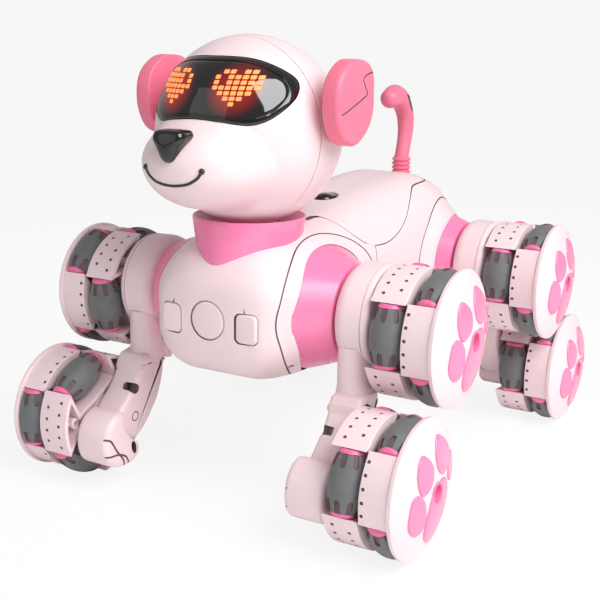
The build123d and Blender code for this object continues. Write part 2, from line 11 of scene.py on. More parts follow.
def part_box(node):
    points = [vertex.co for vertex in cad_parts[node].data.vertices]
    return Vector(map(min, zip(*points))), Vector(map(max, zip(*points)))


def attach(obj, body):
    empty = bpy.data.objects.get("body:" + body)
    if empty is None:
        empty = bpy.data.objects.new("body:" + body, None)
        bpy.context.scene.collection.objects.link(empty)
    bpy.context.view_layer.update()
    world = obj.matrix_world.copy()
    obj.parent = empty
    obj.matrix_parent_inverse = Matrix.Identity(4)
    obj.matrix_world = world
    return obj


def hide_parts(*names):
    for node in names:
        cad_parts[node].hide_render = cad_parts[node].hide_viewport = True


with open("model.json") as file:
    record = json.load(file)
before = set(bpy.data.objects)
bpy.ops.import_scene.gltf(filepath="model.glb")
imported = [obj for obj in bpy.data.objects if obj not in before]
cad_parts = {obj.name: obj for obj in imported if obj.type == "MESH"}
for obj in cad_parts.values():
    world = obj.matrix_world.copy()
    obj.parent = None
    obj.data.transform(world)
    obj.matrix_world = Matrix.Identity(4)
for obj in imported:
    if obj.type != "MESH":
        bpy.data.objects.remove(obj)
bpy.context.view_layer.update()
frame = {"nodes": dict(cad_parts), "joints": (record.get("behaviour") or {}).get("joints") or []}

bl_info = {
    "name": "Robot Dog Toy",
    "version": (1, 0, 0),
    "blender": (4, 5, 0),
    "location": "3D View > Sidebar > Robot Dog",
    "description": "Builds the shells, wheels and face of a robot dog toy around its mechanical model",
    "category": "Object",
}

# Lengths in the building functions are millimetres; make_piece turns them into metres.
MM = 0.001
AXES = {joint["name"]: Vector(joint["pos_m"]) / MM for joint in frame["joints"] if "pos_m" in joint}
LEGS = ("front_left", "front_right", "rear_left", "rear_right")

# The torso's sections along Y: (y, half width, lowest z, highest z).
TORSO_SECTIONS = (
    (-104.3, 14.0, 76.5, 101.5),
    (-101.8, 26.5, 69.0, 109.0),
    (-95.3, 32.5, 63.5, 116.0),
    (-80.3, 36.0, 59.0, 122.0),
    (-60.0, 37.0, 56.5, 126.0),
    (-13.0, 35.5, 54.4, 129.5),
    (25.0, 35.5, 54.0, 135.0),
    (60.0, 37.0, 55.0, 137.0),
    (83.0, 34.0, 58.0, 133.0),
    (96.7, 25.0, 67.0, 122.0),
    (104.7, 11.0, 82.0, 106.0),
)
DOMES = (-95.3, 83.0)                # where the rounded ends begin
SECTION_CORNER = 0.74               # corner radius as a share of the section's smaller half
COVER_FRONT, COVER_REAR = -77.0, 73.0
COVER_WAVE = (
    (-77.0, 126.4), (-49.0, 126.6), (-40.0, 126.9), (-35.7, 125.8), (-28.9, 118.6), (-20.8, 113.3), (-12.8, 111.3),
    (-9.0, 110.7), (1.3, 110.9), (13.0, 114.0), (24.6, 119.8), (32.7, 124.9), (44.9, 130.8), (53.9, 132.6),
    (73.0, 132.8),
)
FLANK_SEAM_Y = -13.0
SLEEVE_ROOT_X, SLEEVE_TIP_X = 32.0, 47.0
SLEEVE_TIP = 21.8

HEAD = Vector((0.0, -71.4, 168.0))
HEAD_RADIUS = 41.2
HEAD_SEAM_Y = -79.0
MUZZLE = Vector((0.0, -103.4, 157.0))
MUZZLE_RADII = Vector((27.0, 27.0, 19.5))
MUZZLE_BLEND = 9.0
VISOR_Z = 185.3
VISOR_HALF = (34.3, 14.7)
VISOR_SHAPE = ((0, 1.0), (0.5, 0.92), (0.87, 0.49), (0.98, -0.05), (0.87, -0.56), (0.66, -0.8), (0.32, -0.72))
EYE = Vector((14.7, 187.9))

LEG_IN, LEG_OUT = 48.3, 65.8
WHEEL_IN = 67.3
WHEEL_RADIUS = 30.0
ROW_WIDTH = 16.4
CAP_RIM = 31.5
CAP_RISE = 6.6
HUB_HOLE = 4.35                      # radius of the screw recess in the cap
BLOCK_RADIUS = 28.8
BLOCK_WALL = 1.8
CORE_RADIUS = 10.5
WINDOW_FLOOR = 12.9
WINDOW_HALF = 14.0
ROLLER_ORBIT = 21.9
ROLLER_HALF = 12.0                  # half length of the rubber

# How far each wheel has turned at rest: the angle of an inner roller above the forward direction.
WHEEL_TURN = {
    "front_left_upper": 8.0, "front_left_lower": 15.0, "front_right_upper": -10.0, "front_right_lower": 63.0,
    "rear_left_upper": 12.0, "rear_left_lower": 6.0, "rear_right_upper": 20.0, "rear_right_lower": 40.0,
}


# ---- Settings -----------------------------------------------------------------------------------
def number(name, description, default, unit="NONE"):
    return FloatProperty(name=name, description=description, default=default, unit=unit)


def length(name, description, metres):
    return number(name, description, metres, "LENGTH")


def colour(name, description, hex_colour):
    return StringProperty(name=name, description=description, default=hex_colour)


class DogColours(bpy.types.PropertyGroup):
    """sRGB colours of the finishes."""
    shell: colour("Shell", "Pale pink of the casings", "#F4DCDF")
    trim: colour("Trim", "Bright pink of sleeves, collar and paw pads", "#FB86B2")
    ear: colour("Ear", "Coral pink of ears and tail", "#F07A95")
    core: colour("Roller core", "Pink of the roller flanges", "#F272A6")
    tread: colour("Tread", "Grey of the roller rubber", "#6A6D6E")
    gloss: colour("Gloss black", "Visor, nose and back button", "#08080A")
    pixel: colour("Eye pixel", "Lit squares of the eyes", "#FF8A4C")
    glow: colour("Eye glow", "Red haze around the lit squares", "#E01500")


class WheelSizes(bpy.types.PropertyGroup):
    """Surface details of the wheels."""
    slot_count: IntProperty(name="Finger slots", description="Slots round each end of a roller", default=8)
    slot_length: length("Slot length", "From the rubber's end to the slot's round end", 0.0056)
    slot_width: length("Slot width", "Across a finger slot", 0.0024)
    slot_depth: length("Slot depth", "Below the rubber", 0.0009)
    dimple_dia: length("Dimple diameter", "Pits in the rims of the wheel blocks", 0.0017)
    pad_height: length("Pad height", "Paw pads above the cap", 0.0007)


class ShellSizes(bpy.types.PropertyGroup):
    """Seams and walls of the casings."""
    wall: length("Wall", "Thickness of the casings", 0.0018)
    seam_gap: length("Seam gap", "Between two casings", 0.0005)
    line_width: length("Line width", "Of a moulded groove", 0.0008)
    fender_lift: length("Fender lift", "How far the casing swells round a hip", 0.0012)
    fender_dia: length("Fender diameter", "Of that swelling", 0.066)


class FaceSizes(bpy.types.PropertyGroup):
    """Lit eyes and smile."""
    pixel_width: length("Pixel width", "Of a lit square", 0.00195)
    pixel_height: length("Pixel height", "Of a lit square", 0.00155)
    pitch_across: length("Pitch across", "Between columns", 0.00265)
    pitch_up: length("Pitch up", "Between rows", 0.0021)
    smile_width: length("Smile width", "Between its two dots", 0.0274)
    smile_line: length("Smile line", "Thickness of the line", 0.0013)


class StageSettings(bpy.types.PropertyGroup):
    """Camera and lamps."""
    azimuth: number("Azimuth", "Camera round the dog", radians(30.25), "ROTATION")
    elevation: number("Elevation", "Camera above the horizon", radians(13.96), "ROTATION")
    roll: number("Roll", "Camera about its own axis", radians(0.834), "ROTATION")
    distance: length("Distance", "Camera from its target", 0.5253)
    lens: number("Lens", "Focal length on a 36 mm sensor", 63.74, "CAMERA")
    key_power: number("Key power", "Large lamp over the dog's left", 13.0, "POWER")
    fill_power: number("Fill power", "Lamp in front of the dog", 1.2, "POWER")
    ambient: number("Ambient", "Strength of the white surroundings", 0.32)


class RobotDog(bpy.types.PropertyGroup):
    """All settings of the toy."""
    colours: PointerProperty(type=DogColours)
    wheels: PointerProperty(type=WheelSizes)
    shells: PointerProperty(type=ShellSizes)
    face: PointerProperty(type=FaceSizes)
    stage: PointerProperty(type=StageSettings)


def settings():
    return bpy.context.scene.robot_dog


# ---- Finishes -----------------------------------------------------------------------------------
def linear(hex_colour):
    """An sRGB hex colour as the linear values that a shader takes."""
    parts = [int(hex_colour[start:start + 2], 16) / 255 for start in (1, 3, 5)]
    return [part / 12.92 if part <= 0.04045 else ((part + 0.055) / 1.055) ** 2.4 for part in parts] + [1.0]


def shaded(hex_colour, share):
    """The colour darkened (share below 1) or lightened (above 1)."""
    return [min(part * share, 1.0) for part in linear(hex_colour)[:3]] + [1.0]


def add(tree, kind, values=None, links=None):
    """A node with its settings or input values by name, and its links from input name to socket."""
    node = tree.nodes.new(kind)
    for name, value in (values or {}).items():
        if isinstance(name, str) and hasattr(node, name):
            setattr(node, name, value)
        else:
            node.inputs[name].default_value = value
    for name, source in (links or {}).items():
        tree.links.new(source, node.inputs[name])
    return node


def per_metre(size_mm):
    """Noise scale for features of that size, on coordinates in metres."""
    return 1.0 / (size_mm * MM)


def moulded(name, hex_colour, roughness, drift, drift_mm, grain_mm, grain_depth_mm, shine):
    """Moulded plastic or rubber: base colour with a slow drift, fine grain and uneven gloss."""
    material = bpy.data.materials.new(name)
    material.use_nodes = True
    tree = material.node_tree
    surface = tree.nodes["Principled BSDF"]
    place = add(tree, "ShaderNodeTexCoord").outputs["Object"]
    slow = add(tree, "ShaderNodeTexNoise", {"Scale": per_metre(drift_mm), "Detail": 3.0}, {"Vector": place})
    colour = add(tree, "ShaderNodeValToRGB", links={"Fac": slow.outputs["Fac"]})
    colour.color_ramp.elements[0].position = 0.3
    colour.color_ramp.elements[0].color = shaded(hex_colour, 1 - drift)
    colour.color_ramp.elements[1].position = 0.7
    colour.color_ramp.elements[1].color = shaded(hex_colour, 1 + drift)
    tree.links.new(colour.outputs["Color"], surface.inputs["Base Color"])
    gloss = add(tree, "ShaderNodeMapRange", {"To Min": roughness * 0.88, "To Max": roughness * 1.14},
                {"Value": slow.outputs["Fac"]})
    tree.links.new(gloss.outputs["Result"], surface.inputs["Roughness"])
    grain = add(tree, "ShaderNodeTexNoise", {"Scale": per_metre(grain_mm), "Detail": 2.0}, {"Vector": place})
    bump = add(tree, "ShaderNodeBump", {"Strength": 1.0, "Distance": grain_depth_mm * MM},
               {"Height": grain.outputs["Fac"]})
    tree.links.new(bump.outputs["Normal"], surface.inputs["Normal"])
    for socket, value in shine.items():
        surface.inputs[socket].default_value = value
    return material


def abs_satin_shell():
    # Injection-moulded ABS from a lightly spark-eroded mould: a soft, wide highlight and no visible
    # grain. The grain is 0.5 mm, coarser than the real 0.1 mm, so that it breaks the highlight at all.
    return moulded("abs_moulded_satin_shell", settings().colours.shell, 0.36, 0.012, 40, 0.5, 0.004,
                   {"IOR": 1.54, "Coat Weight": 0.08, "Coat Roughness": 0.2})


def abs_gloss_trim():
    # Injection-moulded ABS from a polished mould: strong pink with a clearer highlight.
    return moulded("abs_moulded_gloss_trim", settings().colours.trim, 0.27, 0.025, 26, 0.6, 0.003,
                   {"IOR": 1.54, "Coat Weight": 0.15, "Coat Roughness": 0.15})


def pvc_soft_ear():
    # Soft PVC, moulded: a matt skin, slightly deeper in colour where it is thick.
    return moulded("pvc_soft_moulded_ear", settings().colours.ear, 0.42, 0.035, 14, 0.45, 0.008,
                   {"IOR": 1.53, "Subsurface Weight": 0.06, "Subsurface Scale": 0.002})


def nylon_core():
    # Moulded nylon: waxy pink with a broad highlight.
    return moulded("nylon_moulded_core", settings().colours.core, 0.38, 0.03, 8, 0.4, 0.005, {"IOR": 1.53})


def rubber_tread():
    # Thermoplastic rubber, moulded: dull grey that scuffs paler. Its 0.35 mm grain is drawn twice as
    # coarse as the real one, which would vanish.
    return moulded("rubber_moulded_tread", settings().colours.tread, 0.6, 0.10, 5, 0.35, 0.03,
                   {"IOR": 1.5, "Sheen Weight": 0.12, "Sheen Roughness": 0.5})


def abs_black_gloss():
    # Black ABS, polished: deep black with sharp reflections and the faint waviness of a moulding.
    return moulded("abs_black_polished", settings().colours.gloss, 0.1, 0.2, 12, 6.0, 0.006,
                   {"IOR": 1.52, "Coat Weight": 0.6, "Coat Roughness": 0.04})


def smoked_visor():
    # Smoked polycarbonate over the eye lights: near black and glossy, with a red haze where the lights
    # shine through it. The haze fades out with distance from each eye's middle.
    colours = settings().colours
    material = moulded("polycarbonate_smoked_visor", colours.gloss, 0.07, 0.2, 16, 9.0, 0.006,
                       {"IOR": 1.585, "Coat Weight": 0.7, "Coat Roughness": 0.03,
                        "Emission Color": linear(colours.glow)})
    tree = material.node_tree
    place = add(tree, "ShaderNodeTexCoord").outputs["Object"]
    parts = add(tree, "ShaderNodeSeparateXYZ", links={"Vector": place})
    side = add(tree, "ShaderNodeMath", {"operation": "ABSOLUTE"}, {0: parts.outputs["X"]})
    flat = add(tree, "ShaderNodeCombineXYZ", links={"X": side.outputs[0], "Z": parts.outputs["Z"]})
    eye = Vector((EYE.x, 0, EYE.y - 0.6)) * MM
    away = add(tree, "ShaderNodeVectorMath", {"operation": "DISTANCE", 1: eye}, {0: flat.outputs[0]})
    reach = add(tree, "ShaderNodeMapRange",
                {"interpolation_type": "SMOOTHSTEP", "From Min": 0.0125, "From Max": 0.0045, "To Max": 0.42},
                {"Value": away.outputs["Value"]})
    tree.links.new(reach.outputs["Result"], tree.nodes["Principled BSDF"].inputs["Emission Strength"])
    return material


def lit_pixel():
    # Light-guide squares over LEDs: orange, their brightness varying a little at random.
    colours = settings().colours
    material = moulded("acrylic_lit_pixel", colours.pixel, 0.4, 0.05, 3, 0.4, 0.004,
                       {"Emission Color": linear(colours.pixel)})
    tree = material.node_tree
    place = add(tree, "ShaderNodeTexCoord").outputs["Object"]
    flicker = add(tree, "ShaderNodeTexNoise", {"Scale": per_metre(2.5)}, {"Vector": place})
    power = add(tree, "ShaderNodeMapRange", {"To Min": 0.75, "To Max": 1.15}, {"Value": flicker.outputs["Fac"]})
    tree.links.new(power.outputs["Result"], tree.nodes["Principled BSDF"].inputs["Emission Strength"])
    return material


def nickel_motor():
    # Nickel-plated steel gear motor: pale grey metal with a slightly uneven shine.
    return moulded("steel_nickel_plated_motor", "#B9BABC", 0.3, 0.06, 5, 0.8, 0.006, {"Metallic": 1.0})


def pvc_battery_wrap():
    # Shrink-wrapped PVC film on a battery: blue, glossy and faintly wrinkled.
    return moulded("pvc_shrink_film_battery", "#2E5C9A", 0.22, 0.05, 9, 2.2, 0.05, {"IOR": 1.53})


def glass_epoxy_board():
    # Glass-epoxy circuit board under green solder resist: the weave just shows through.
    return moulded("glass_epoxy_solder_resist", "#1F6B3A", 0.3, 0.12, 1.5, 0.6, 0.02, {"IOR": 1.55})


def groove_painted_shade():
    # The walls and bottom of a moulded line, slot or seam: the casing's ABS in painted shade, a dark colour put
    # where the shadow in the groove falls.
    return moulded("abs_painted_shade_groove", "#6B565A", 0.6, 0.08, 3, 0.4, 0.01, {"IOR": 1.5})


def steel_screw():
    # Zinc-plated steel screw deep in its recess: dull, and painted dark as shade of the recess.
    return moulded("steel_zinc_screw", "#6F6A6C", 0.45, 0.1, 1.5, 0.3, 0.02, {"Metallic": 1.0})


# The groove finish is painted shade on the faces of carved lines, slots, pits, holes and seams.
FINISHES = {
    "shell": abs_satin_shell, "trim": abs_gloss_trim, "ear": pvc_soft_ear, "core": nylon_core,
    "tread": rubber_tread, "gloss": abs_black_gloss, "visor": smoked_visor, "pixel": lit_pixel,
    "groove": groove_painted_shade, "motor": nickel_motor, "battery": pvc_battery_wrap, "board": glass_epoxy_board,
    "screw": steel_screw,
}
made_finishes = {}


def finish(key):
    """The material of that key, made on first use."""
    if key not in made_finishes:
        made_finishes[key] = FINISHES[key]()
    return made_finishes[key]


# ---- Shaping tools ------------------------------------------------------------------------------
def skin(bm, rows, closed=True, ends=True):
    """Quads between rows of points; closed joins each row's ends, ends caps the first and last row."""
    made = [[bm.verts.new(point) for point in row] for row in rows]
    count = len(rows[0])
    for low, high in zip(made, made[1:]):
        for start in range(count if closed else count - 1):
            after = (start + 1) % count
            bm.faces.new((low[start], low[after], high[after], high[start]))
    if ends:
        bm.faces.new(made[0][::-1])
        bm.faces.new(made[-1])


def tidy_up(bm):
    """Weld coincident points, drop what they collapse and point all faces outwards."""
    bmesh.ops.remove_doubles(bm, verts=bm.verts, dist=0.002)
    bmesh.ops.dissolve_degenerate(bm, edges=bm.edges, dist=0.001)
    bmesh.ops.recalc_face_normals(bm, faces=bm.faces)


def crease(mesh, degrees):
    mesh.shade_smooth()
    mesh.set_sharp_from_angle(angle=radians(degrees))


def make_piece(name, bm, finish_key, sharp=32.0):
    """A mesh object from a bmesh in millimetres."""
    tidy_up(bm)
    bm.transform(Matrix.Scale(MM, 4))
    mesh = bpy.data.meshes.new(name)
    bm.to_mesh(mesh)
    bm.free()
    mesh.materials.append(finish(finish_key))
    crease(mesh, sharp)
    piece = bpy.data.objects.new(name, mesh)
    bpy.context.scene.collection.objects.link(piece)
    return piece


def bake(piece, sharp=32.0):
    """Turn the piece's modifiers into plain mesh."""
    graph = bpy.context.evaluated_depsgraph_get()
    mesh = bpy.data.meshes.new_from_object(piece.evaluated_get(graph))
    piece.modifiers.clear()
    piece.data = mesh
    mesh.name = piece.name
    crease(mesh, sharp)


def carve(piece, cutter, finish_key=None, sharp=32.0):
    """Cut a solid, given as a bmesh or a piece, out of the piece. A finish key marks the cut faces."""
    tool = cutter if isinstance(cutter, bpy.types.Object) else make_piece("cutter", cutter, finish_key or "shell")
    if not finish_key:
        tool.data.materials[0] = piece.data.materials[0]
    cut = piece.modifiers.new("cut", "BOOLEAN")
    cut.solver = "EXACT"
    cut.material_mode = "TRANSFER"
    cut.object = tool
    bake(piece, sharp)
    bpy.data.objects.remove(tool)
    if not piece.data.vertices:
        raise RuntimeError(f"nothing is left of {piece.name}")


def thicken(piece, wall, edge_radius):
    """Give an open skin a wall on its inside, and round its rim."""
    solid = piece.modifiers.new("wall", "SOLIDIFY")
    solid.thickness = wall
    solid.offset = -1
    solid.use_even_offset = True
    rim = piece.modifiers.new("rim", "BEVEL")
    rim.width = edge_radius
    rim.segments = 2
    rim.limit_method = "ANGLE"
    rim.angle_limit = radians(55)
    bake(piece)


def cad_box(node):
    """The low and high corners of a CAD node."""
    return [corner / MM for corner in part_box(node)]


def settle(piece, body, slot, *nodes):
    """Attach the piece to its body and hide the plain nodes that it stands for. The slot is not used."""
    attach(piece, body)
    if nodes:
        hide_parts(*nodes)
    return piece


def smooth_line(points, steps, closed=False):
    """Points on a smooth line through the given ones."""
    points = [Vector(point) for point in points]
    count = len(points)
    line = []
    for start in range(count if closed else count - 1):
        if closed:
            before, here, there, after = (points[(start + k) % count] for k in (-1, 0, 1, 2))
        else:
            before, here, there, after = (points[min(max(start + k, 0), count - 1)] for k in (-1, 0, 1, 2))
        for step in range(steps):
            t = step / steps
            line.append(0.5 * (2 * here + (there - before) * t
                               + (2 * before - 5 * here + 4 * there - after) * t ** 2
                               + (3 * here - before - 3 * there + after) * t ** 3))
    if not closed:
        line.append(points[-1])
    return line


def ring(radius, count):
    """Points of a circle in two dimensions."""
    return [Vector((radius * cos(tau * k / count), radius * sin(tau * k / count))) for k in range(count)]


def oval(centre, half_across, half_up, lean, count=40):
    """Points of a leaning ellipse in two dimensions."""
    turn = Matrix.Rotation(radians(lean), 2)
    return [Vector(centre) + turn @ Vector((half_across * cos(tau * k / count), half_up * sin(tau * k / count)))
            for k in range(count)]


def rounded_box(half_across, half_up, corner, steps=6):
    """Outline of a rectangle with round corners."""
    outline = []
    for number, (side, level) in enumerate(((1, 1), (-1, 1), (-1, -1), (1, -1))):
        for step in range(steps + 1):
            angle = pi / 2 * (number + step / steps)
            outline.append(Vector((side * (half_across - corner) + corner * cos(angle),
                                   level * (half_up - corner) + corner * sin(angle))))
    return outline


def shrink(outline, distance):
    """The outline moved inwards by a distance."""
    count = len(outline)
    area = sum(outline[k].x * outline[(k + 1) % count].y - outline[(k + 1) % count].x * outline[k].y
               for k in range(count))
    inwards = 1 if area > 0 else -1
    moved = []
    for number, point in enumerate(outline):
        along = (outline[(number + 1) % count] - outline[number - 1]).normalized()
        moved.append(point + Vector((-along.y, along.x)) * distance * inwards)
    return moved


def slab(bm, outline, low, high, place, low_round=0.0, high_round=0.0):
    """A plate with round edges: place turns (across, up, depth) into a point."""
    def row(inset, depth):
        return [place(point.x, point.y, depth) for point in shrink(outline, inset)]

    quarter = [pi / 2 * step / 5 for step in range(6)]
    rows = []
    if low_round:
        rows += [row(low_round * (1 - sin(a)), low + low_round * (1 - cos(a))) for a in quarter]
    else:
        rows.append(row(0, low))
    if high_round:
        rows += [row(high_round * (1 - cos(a)), high - high_round * (1 - sin(a))) for a in quarter]
    else:
        rows.append(row(0, high))
    skin(bm, rows)


def turned(bm, profile, place, steps=64, closed=False):
    """A profile of (along, radius) turned about an axis: place turns (along, x, y) into a point."""
    rows = [[place(along, radius * cos(tau * k / steps), radius * sin(tau * k / steps)) for k in range(steps)]
            for along, radius in profile]
    if closed:
        rows.append(rows[0])
    skin(bm, rows, ends=False)


def along_x(centre_y, centre_z, side=1):
    return lambda along, across, up: Vector((side * along, centre_y + across, centre_z + up))


def along_y(centre_x, centre_z):
    return lambda along, across, up: Vector((centre_x + across, along, centre_z + up))


def along_z(centre_x, centre_y):
    return lambda along, across, up: Vector((centre_x + across, centre_y + up, along))


def axial(along, across, up):
    """Wheel frame: the axle is Z."""
    return Vector((across, up, along))


def tube(bm, path, radius, closed=False, sides=10, flat_to=Vector((0, 0, 1))):
    """A round tube along a path."""
    rows = []
    count = len(path)
    side = None
    for number, point in enumerate(path):
        if closed:
            along = (path[(number + 1) % count] - path[number - 1]).normalized()
        else:
            along = (path[min(number + 1, count - 1)] - path[max(number - 1, 0)]).normalized()
        if side is None:
            side = along.orthogonal() if abs(along.dot(flat_to)) > 0.95 else flat_to.cross(along)
        side = (side - along * side.dot(along)).normalized()
        up = along.cross(side)
        rows.append([point + radius * (cos(tau * k / sides) * side + sin(tau * k / sides) * up)
                     for k in range(sides)])
    if closed:
        rows.append(rows[0])
    skin(bm, rows, ends=not closed)


def ball(bm, centre, radii, steps=16):
    """A closed ellipsoid."""
    rows = []
    for level in range(steps // 2 + 1):
        height = pi * level / (steps // 2)
        rows.append([Vector(centre) + Vector((radii[0] * sin(height) * cos(tau * k / steps),
                                              radii[1] * sin(height) * sin(tau * k / steps),
                                              radii[2] * cos(height))) for k in range(steps)])
    skin(bm, rows, ends=False)


def solid(shape, *values, **named):
    """A new bmesh with one shape in it, drawn by one of the functions above."""
    bm = bmesh.new()
    shape(bm, *values, **named)
    return bm


# ---- Wheels: built along +Z in the wheel's own frame, X to the rear and Y up ----------------------
def dome_height(radius):
    """The cap's outer face."""
    return CAP_RIM + CAP_RISE * (1 - (radius / WHEEL_RADIUS) ** 2)


def block_outline(radius, floor, half):
    """A disc with three flat-bottomed openings for the rollers."""
    reach = sqrt(radius ** 2 - half ** 2)
    start, stop = asin(half / radius), 2 * pi / 3 - asin(half / radius)
    outline = []
    for third in range(3):
        turn = Matrix.Rotation(third * tau / 3, 2)
        arc = [Vector((radius * cos(a), radius * sin(a)))
               for a in (start + (stop - start) * k / 12 for k in range(1, 12))]
        points = [Vector((floor, -half)), Vector((floor, half)), Vector((reach, half))] + arc
        points.append(Matrix.Rotation(tau / 3, 2) @ Vector((reach, -half)))
        outline += [turn @ point for point in points]
    return outline


def plate(x, y, depth):
    return Vector((x, y, depth))


def rim_pits(rows_s, turn):
    """Cutters for the dimples in the outer faces of a frame's three blocks: rows of (along, degrees)."""
    size = settings().wheels.dimple_dia / MM / 2
    cutter = bmesh.new()
    for third in range(3):
        middle = turn + pi / 3 + third * tau / 3
        for s, angles in rows_s:
            for angle in angles:
                spin = Matrix.Rotation(middle + radians(angle), 4, "Z")
                ball(cutter, spin @ Vector((BLOCK_RADIUS + 0.15, 0, s)), (size, size, size), 10)
    return cutter


def wheel_frame_mesh():
    """Inner frame: three hollow blocks round a core, with ribs, screw bosses and rim dimples."""
    top = ROW_WIDTH - 0.3
    bm = solid(slab, block_outline(BLOCK_RADIUS, WINDOW_FLOOR, WINDOW_HALF), 0.0, top, plate, 0.5, 0.5)
    frame_piece = make_piece("wheel_frame", bm, "shell")
    outline = block_outline(BLOCK_RADIUS - BLOCK_WALL, WINDOW_FLOOR - BLOCK_WALL, WINDOW_HALF + BLOCK_WALL)
    pocket_piece = make_piece("pocket", solid(slab, outline, -1.0, top - BLOCK_WALL, plate), "shell")
    carve(pocket_piece, solid(slab, ring(CORE_RADIUS, 48), -2.0, top, plate))
    carve(frame_piece, pocket_piece)
    slots = rim_pits(((4.4, (-22, -11, 0, 11, 22)), (11.6, (-16, -5, 6, 17))), 0.0)
    # The dimples take the groove finish: painted shade in the pits.
    carve(frame_piece, slots, "groove")
    extra = solid(turned, ((0.0, 3.0), (0.0, 7.6), (0.6, 7.6), (0.6, CORE_RADIUS - 0.8), (1.4, CORE_RADIUS - 0.1),
                          (ROW_WIDTH, CORE_RADIUS - 0.1), (ROW_WIDTH, 3.0)), axial, 48, closed=True)
    turned(extra, ((-4.5, 1.6), (-4.5, 3.0), (1.0, 3.0), (1.0, 1.6)), axial, 32, closed=True)
    for third in range(3):
        middle = pi / 3 + third * tau / 3
        away = Vector((cos(middle), sin(middle)))
        boss = away * BLOCK_RADIUS * 0.7

        def at_boss(along, across, up, boss=boss):
            return Vector((boss.x + across, boss.y + up, along))

        turned(extra, ((1.4, 1.3), (1.4, 2.5), (1.7, 2.8), (top - 1.0, 2.8), (top - 1.0, 1.3)), at_boss, 24,
               closed=True)
        spin = Matrix.Rotation(middle, 4, "Z")
        for start, stop in ((CORE_RADIUS - 0.5, 17.6), (22.7, WHEEL_RADIUS - 2.6)):
            rib = [Vector((start, -0.7)), Vector((stop, -0.7)), Vector((stop, 0.7)), Vector((start, 0.7))]
            slab(extra, rib, 3.2, top - 1.2, lambda x, y, depth, spin=spin: spin @ Vector((x, y, depth)))
    join_into(frame_piece, extra)
    return frame_piece.data, frame_piece


def join_into(piece, bm):
    """Add the solids of a bmesh to the piece's mesh."""
    tidy_up(bm)
    bm.transform(Matrix.Scale(MM, 4))
    bm.from_mesh(piece.data)
    bm.to_mesh(piece.data)
    bm.free()
    crease(piece.data, 32.0)


def wheel_cap_mesh():
    """Outer frame and its domed cap, turned 60 degrees from the inner frame."""
    start = ROW_WIDTH + 0.3
    half_turn = Matrix.Rotation(pi / 3, 2)
    outline = [half_turn @ point for point in block_outline(BLOCK_RADIUS, WINDOW_FLOOR, WINDOW_HALF)]
    cap = make_piece("wheel_cap", solid(slab, outline, start, CAP_RIM - 0.2, plate, 0.5, 0.0), "shell")
    # The dimples take the groove finish: painted shade in the pits.
    carve(cap, rim_pits(((start + 1.6, (-22, -11, 0, 11, 22)),), pi / 3), "groove")
    bm = bmesh.new()
    radii = [WHEEL_RADIUS * step / 24 for step in range(24, 3, -1)]
    profile = [(CAP_RIM - 2.2, WHEEL_RADIUS - 1.3), (CAP_RIM - 2.2, WHEEL_RADIUS - 0.5),
               (CAP_RIM - 1.9, WHEEL_RADIUS - 0.15), (CAP_RIM - 1.2, WHEEL_RADIUS)]
    profile += [(dome_height(r) if r < WHEEL_RADIUS else CAP_RIM - 0.3, r) for r in radii]
    profile += [(dome_height(HUB_HOLE + 0.4), HUB_HOLE + 0.4), (dome_height(HUB_HOLE + 0.4) - 0.4, HUB_HOLE),
                (CAP_RIM - 1.6, HUB_HOLE)]
    profile += [(CAP_RIM - 1.6, 0.0), (CAP_RIM - 3.2, 0.0)]
    turned(bm, profile, axial, 96, closed=True)
    join_into(cap, bm)
    return cap.data, cap


# Outlines of the paw print on the cap: the large pad and four toes.
PAD_OUTLINE = ((3.3, 4.8), (-2.5, 3.7), (-6.2, -2.1), (-8.5, -10.5), (-6.3, -18.1), (-0.3, -22.6), (5.2, -21.0),
               (9.2, -14.4), (11.7, -6.4), (11.0, 1.4), (7.6, 4.4))
TOE_OUTLINES = (
    ((-15, 4.2), (-11.5, 1.1), (-9.9, -3.5), (-9.4, -10.1), (-11.5, -13.5), (-15.3, -13.7), (-19.3, -10.1),
     (-20.7, -6), (-20, 0), (-18.3, 3.6)),
    ((-9.2, 18.8), (-5.4, 16.3), (-3.4, 12.7), (-4, 8.2), (-6.6, 4.7), (-11.6, 2.7), (-14.3, 5.1), (-15.4, 9.7),
     (-14.4, 14), (-12.3, 17.5)),
    ((5.2, 22.5), (9.8, 21.2), (15.3, 17), (17.7, 12.1), (14.4, 8.9), (8.3, 6.3), (4.3, 6.8), (0.9, 9.9),
     (0.1, 14.9), (1.9, 19.4)),
    ((13.2, 5.8), (12.6, 2.4), (16.3, -0.5), (21.4, 0.6), (23.8, 4.6), (22.6, 10.2), (19.2, 10.6), (15.6, 8.6)),
)


def paw_pads_mesh():
    """Raised pads that follow the dome, and the pink lining of the screw recess."""
    lift = settings().wheels.pad_height / MM
    outlines = [smooth_line(PAD_OUTLINE, 6, closed=True)]
    outlines += [smooth_line(points, 5, closed=True) for points in TOE_OUTLINES]
    bm = bmesh.new()
    for outline in outlines:
        middle = sum(outline, Vector((0, 0))) / len(outline)
        rows = []
        for share, height in ((1.0, -0.6), (1.0, 0.3 * lift), (0.985, 0.7 * lift), (0.95, lift), (0.75, lift),
                              (0.5, lift), (0.25, lift), (0.02, lift)):
            row = []
            for point in outline:
                spot = middle + (point - middle) * share
                row.append(Vector((spot.x, spot.y, dome_height(spot.length) + height)))
            rows.append(row)
        skin(bm, rows)
    pads = make_piece("paw_pads", bm, "trim")
    hole = solid(turned, ((CAP_RIM, 0.0), (CAP_RIM, 4.7), (CAP_RIM + 9, 4.7), (CAP_RIM + 9, 0.0)), axial, 48)
    carve(pads, hole)
    lining = bmesh.new()
    top = dome_height(4.3) + lift
    turned(lining, ((CAP_RIM - 1.5, 3.9), (CAP_RIM - 1.5, 4.34), (top - 0.6, 4.34), (top - 0.6, 4.9),
                    (top - 0.05, 4.9), (top + 0.05, 4.5), (top - 0.3, 3.9)), axial, 48, closed=True)
    join_into(pads, lining)
    return pads.data, pads


